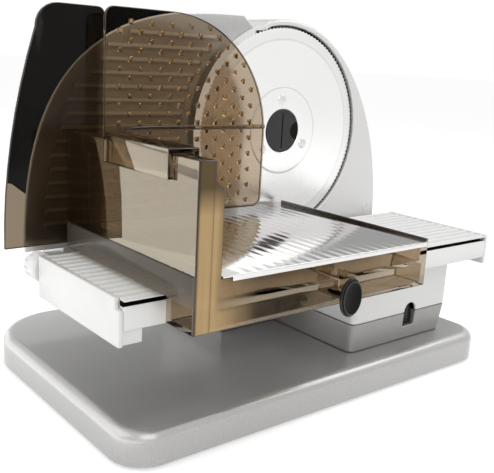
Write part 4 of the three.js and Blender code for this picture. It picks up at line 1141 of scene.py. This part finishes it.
class SLICER_OT_pusher(Operator):
    """Models the pusher's plate and its square pins, and rounds the hook that rides on the wall"""

    bl_idname = "slicer.pusher"
    bl_label = "Pusher"

    def execute(self, context):
        sizes = context.scene.slicer_sizes
        low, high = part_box("pusher_plate")
        face = low.x + sizes.pin_height
        self.model_plate(sizes, Vector((face, low.y, low.z)), high)
        self.model_pins(sizes, Vector((face, low.y, low.z)), high)
        # Painted shade: the hook's rounded edges take the near-black rim
        grip = dressed(
            "pusher_hook", "pusher_grip", smoked_plastic, "smoked_plastic", sizes.smoked_edge, rim=painted_dark_rim
        )
        recoated(grip, smoked_wall, lambda face: face.normal.y < -0.9)
        return {"FINISHED"}

    def model_plate(self, sizes, low, high):
        clear_selection()
        bpy.ops.mesh.primitive_cube_add(size=1.0, location=(low + high) / 2, scale=high - low)
        piece = started("pusher_panel")

        def corner(edge, y, z):
            return all(abs(vert.co.y - y) < 1e-5 and abs(vert.co.z - z) < 1e-5 for vert in edge.verts)

        for y, z, radius, steps in (
            (high.y, high.z, sizes.pusher_crown, 40),
            (high.y, low.z, sizes.pusher_corner, 10),
            (low.y, high.z, sizes.pusher_corner, 10),
        ):
            pick(piece, "EDGE", lambda edge: corner(edge, y, z))
            bpy.ops.mesh.bevel(offset=radius, segments=steps, affect="EDGES")
        bpy.ops.object.mode_set(mode="OBJECT")
        # Painted shade: the plate's rounded edges take the near-black rim
        coated(piece, finish(smoked_plastic), finish(painted_dark_rim))
        rounded(piece, sizes.smoked_edge, 60.0, 30.0)
        fitted(piece, "smoked_plastic", "pusher_plate")

    def model_pins(self, sizes, low, high):
        (first_y, first_z), *others = self.pin_places(sizes, low, high)
        first = self.model_pin(sizes, low, first_y, first_z)
        copies = [copied_to(first, "pusher_pin", (0.0, y - first_y, z - first_z)) for y, z in others]
        take_up(first)
        for pin in copies:
            pin.select_set(True)
        bpy.ops.object.join()
        piece = context_piece("pusher_pins")
        coated(piece, finish(smoked_pins))
        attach(piece, "pusher")
        clear_selection()

    def pin_places(self, sizes, low, high):
        """Staggered rows of pins, clear of the plate's right, upper and rounded edges."""
        crown_margin = 0.0025
        rows = int((high.z - sizes.pin_margin - low.z - sizes.pin_lift) / sizes.pin_row) + 1
        for row in range(rows):
            z = low.z + sizes.pin_lift + row * sizes.pin_row
            y = low.y + sizes.pin_inset + (row % 2) * sizes.pin_pitch / 2
            while y < high.y - sizes.pin_margin:
                above, past = z - (high.z - sizes.pusher_crown), y - (high.y - sizes.pusher_crown)
                clear = math.hypot(max(above, 0.0), max(past, 0.0)) < sizes.pusher_crown - crown_margin
                if clear or above < 0.0 or past < 0.0:
                    yield y, z
                y += sizes.pin_pitch

    def model_pin(self, sizes, low, y, z):
        """One square point: a four-sided cone on the blade's side, blunted at its tip."""
        off_plate, blunt = 0.00002, 0.0006
        clear_selection()
        bpy.ops.mesh.primitive_cone_add(
            vertices=4,
            radius1=sizes.pin_width / math.sqrt(2.0),
            depth=sizes.pin_height,
            location=(low.x - sizes.pin_height / 2 - off_plate, y, z),
            rotation=(0.0, -math.pi / 2, 0.0),
        )
        pin = started("pusher_pin")
        bpy.ops.mesh.select_all(action="SELECT")
        bpy.ops.transform.rotate(value=math.pi / 4, orient_axis="X", center_override=Vector((low.x, y, z)))
        pick(pin, "VERT", lambda vert: vert.co.x < low.x - 0.9 * sizes.pin_height)
        bpy.ops.mesh.bevel(offset=blunt, affect="VERTICES")
        bpy.ops.object.mode_set(mode="OBJECT")
        return closed_up(pin, 10.0)


class SLICER_OT_switch(Operator):
    """Rounds the arched switch button"""

    bl_idname = "slicer.switch"
    bl_label = "Switch"

    def execute(self, context):
        edge = context.scene.slicer_sizes.small_edge
        dressed("switch_button", "arched_button", switch_plastic, "black_plastic", edge)
        coated(NODES["switch_body"], finish(black_plastic))
        return {"FINISHED"}


class SLICER_OT_inner_works(Operator):
    """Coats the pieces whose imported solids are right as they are"""

    bl_idname = "slicer.inner_works"
    bl_label = "Drive and runners"

    def execute(self, context):
        coats = {
            bright_steel: ("spindle", "blade_hub", "motor_can", "motor_shaft", "worm", "stop_rod_1",
                           "stop_rod_2", "dial_shaft"),
            bronze: ("front_bush", "rear_bush"),
            gear_plastic: ("worm_gear", "motor_fan"),
            grey_paint: ("gear_bridge", "motor_bracket"),
            black_plastic: ("carriage_runner_1", "carriage_runner_2"),
            white_plastic: ("carriage_glide_1", "carriage_glide_2"),
        }
        for maker, nodes in coats.items():
            for node in nodes:
                coated(NODES[node], finish(maker))
        return {"FINISHED"}


def card(name, centre, facing, width, height, strength):
    """A studio card that only mirrors and clear pieces see."""
    clear_selection()
    turn = Vector(facing).to_track_quat("Z", "Y").to_euler()
    bpy.ops.mesh.primitive_plane_add(size=1.0, location=centre, rotation=turn)
    piece = bpy.context.object
    piece.name = name
    piece.scale = (width, height, 1.0)
    bpy.ops.object.transform_apply(location=True, rotation=True, scale=True)
    for rays in ("visible_camera", "visible_diffuse", "visible_shadow"):
        setattr(piece, rays, False)
    material = bpy.data.materials.new(name)
    shading = Shading(material)
    glow = shading.node("ShaderNodeEmission", inputs={"Color": (1.0, 1.0, 1.0), "Strength": strength})
    shading.node("ShaderNodeOutputMaterial", inputs={"Surface": glow})
    coated(piece, material)
    piece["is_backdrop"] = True
    clear_selection()
    return piece


def soft_lamp(name, place, size, power):
    """A large rectangular lamp that faces the slicer."""
    middle = Vector((0.0, 0.0, 0.12))
    away = Vector(place) - middle
    clear_selection()
    bpy.ops.object.light_add(type="AREA", location=place, rotation=away.to_track_quat("Z", "Y").to_euler())
    lamp = bpy.context.object
    lamp.name = lamp.data.name = name
    lamp.data.shape = "RECTANGLE"
    lamp.data.size, lamp.data.size_y = size
    lamp.data.energy = power
    lamp.visible_camera = False


class SLICER_OT_studio(Operator):
    """Sets up the floor, the white room, the lamps, the cards and the camera"""

    bl_idname = "slicer.studio"
    bl_label = "Studio"

    def execute(self, context):
        scene, studio = context.scene, context.scene.slicer_studio
        scene.view_settings.view_transform = "Standard"
        self.set_room(scene, studio)
        self.lay_floor(studio)
        self.hang_lamps(studio)
        self.place_camera(scene, studio)
        return {"FINISHED"}

    def seen(self, shading):
        """1 for rays that show the room itself, and 0 for rays that gather its light for a matt surface."""
        rays = shading.node("ShaderNodeLightPath")
        camera, glossy, through, matt = (
            rays.sibling(name)
            for name in ("Is Camera Ray", "Is Glossy Ray", "Is Transmission Ray", "Diffuse Depth")
        )
        return (camera + glossy + through).at_most(1.0) * (1.0 - matt.at_most(1.0))

    def set_room(self, scene, studio):
        scene.world = bpy.data.worlds.new("white_room")
        shading = Shading(scene.world)
        seen = self.seen(shading)
        glow = shading.node(
            "ShaderNodeBackground",
            inputs={"Color": (1.0, 1.0, 1.0), "Strength": seen * (1.0 - studio.room) + studio.room},
        )
        shading.node("ShaderNodeOutputWorld", inputs={"Surface": glow})

    def lay_floor(self, studio):
        clear_selection()
        bpy.ops.mesh.primitive_plane_add(size=60.0)
        floor = started("pale_floor")
        bpy.ops.mesh.subdivide(number_cuts=3)
        bpy.ops.object.mode_set(mode="OBJECT")
        material = bpy.data.materials.new("pale_floor")
        shading = Shading(material)
        speck = shading.noise(300.0, 2.0)
        shade = (studio.floor,) * 3
        ground = shading.node(
            "ShaderNodeBsdfDiffuse",
            inputs={"Color": shading.between(tinted(shade, 0.99), tinted(shade, 1.01), speck)},
        )
        glow = shading.node(
            "ShaderNodeEmission", inputs={"Color": (1.0, 1.0, 1.0), "Strength": 0.5 * self.seen(shading)}
        )
        both = shading.node("ShaderNodeAddShader", inputs={0: ground, 1: glow})
        shading.node("ShaderNodeOutputMaterial", inputs={"Surface": both})
        coated(floor, material)
        floor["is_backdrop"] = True
        clear_selection()

    def hang_lamps(self, studio):
        """Hangs the lamps, and the cards that the blade, the tray and the smoked pieces mirror or show."""
        soft_lamp("left_lamp", (-0.35, -1.10, 0.70), (1.5, 0.8), studio.left)
        soft_lamp("front_lamp", (1.4, -0.5, 1.0), (1.2, 1.2), studio.front)
        soft_lamp("top_lamp", (0.45, 1.15, 1.5), (1.2, 1.0), studio.top)
        card("white_card", (-0.42, -0.62, 0.13), (0.75, 0.62, 0.0), 1.3, 0.26, studio.card)
        card("low_card", (-0.12, -0.56, 0.001), (0.0, 0.0, 1.0), 0.95, 0.66, 1.2 * studio.card)
        behind_guard = (-0.30, 0.005, 0.245), (1.0, 0.0, 0.0), 0.29, 0.23
        card("dark_card", *behind_guard, 0.003).visible_glossy = False
        card("shade_card", *behind_guard, 0.35).visible_transmission = False
        card("grey_card", (-0.36, 0.52, 0.30), (0.75, -0.62, 0.0), 0.50, 0.60, 0.45)

    def place_camera(self, scene, studio):
        ahead = Vector(studio.view).normalized()
        side = ahead.cross(Vector((0.0, 0.0, 1.0))).normalized()
        top = side.cross(ahead)
        right = math.cos(studio.roll) * side + math.sin(studio.roll) * top
        up = math.cos(studio.roll) * top - math.sin(studio.roll) * side
        clear_selection()
        bpy.ops.object.camera_add()
        camera = bpy.context.object
        camera.name = "photo_camera"
        turn = Matrix((right, up, -ahead)).transposed().to_4x4()
        camera.matrix_world = Matrix.Translation(studio.eye) @ turn
        camera.data.lens = studio.lens
        camera.data.sensor_width = 36.0
        camera.data.clip_end = 50.0
        scene.camera = camera


PIECES = (
    SLICER_OT_studio,
    SLICER_OT_base,
    SLICER_OT_feet,
    SLICER_OT_housing,
    SLICER_OT_beam,
    SLICER_OT_blade,
    SLICER_OT_blade_lock,
    SLICER_OT_stop_plate,
    SLICER_OT_carriage,
    SLICER_OT_carriage_knob,
    SLICER_OT_pusher,
    SLICER_OT_switch,
    SLICER_OT_inner_works,
)


class SLICER_PT_panel(Panel):
    """Lists the slicer's pieces, sizes and finishes"""

    bl_idname = "SLICER_PT_panel"
    bl_label = "Food slicer"
    bl_space_type = "VIEW_3D"
    bl_region_type = "UI"
    bl_category = "Slicer"

    def draw(self, context):
        column = self.layout.column()
        for piece in PIECES:
            column.operator(piece.bl_idname)
        for group in ("slicer_sizes", "slicer_finishes", "slicer_studio"):
            box = self.layout.box()
            settings = getattr(context.scene, group)
            for name in settings.__annotations__:
                box.prop(settings, name)


GROUPS = {
    "slicer_sizes": SlicerSizes,
    "slicer_finishes": SlicerFinishes,
    "slicer_studio": SlicerStudio,
}


def register():
    for made in (*GROUPS.values(), *PIECES, SLICER_PT_panel):
        bpy.utils.register_class(made)
    for name, group in GROUPS.items():
        setattr(bpy.types.Scene, name, PointerProperty(type=group))


def unregister():
    for name in GROUPS:
        delattr(bpy.types.Scene, name)
    for made in reversed((*GROUPS.values(), *PIECES, SLICER_PT_panel)):
        bpy.utils.unregister_class(made)


def main():
    register()
    for piece in PIECES:
        group, name = piece.bl_idname.split(".")
        getattr(getattr(bpy.ops, group), name)()
    boxes = {"cad": CAD_BOX, "visual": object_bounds()}
    {name: [list(corner) for corner in box] for name, box in boxes.items()}


if __name__ == "__main__":
    main()
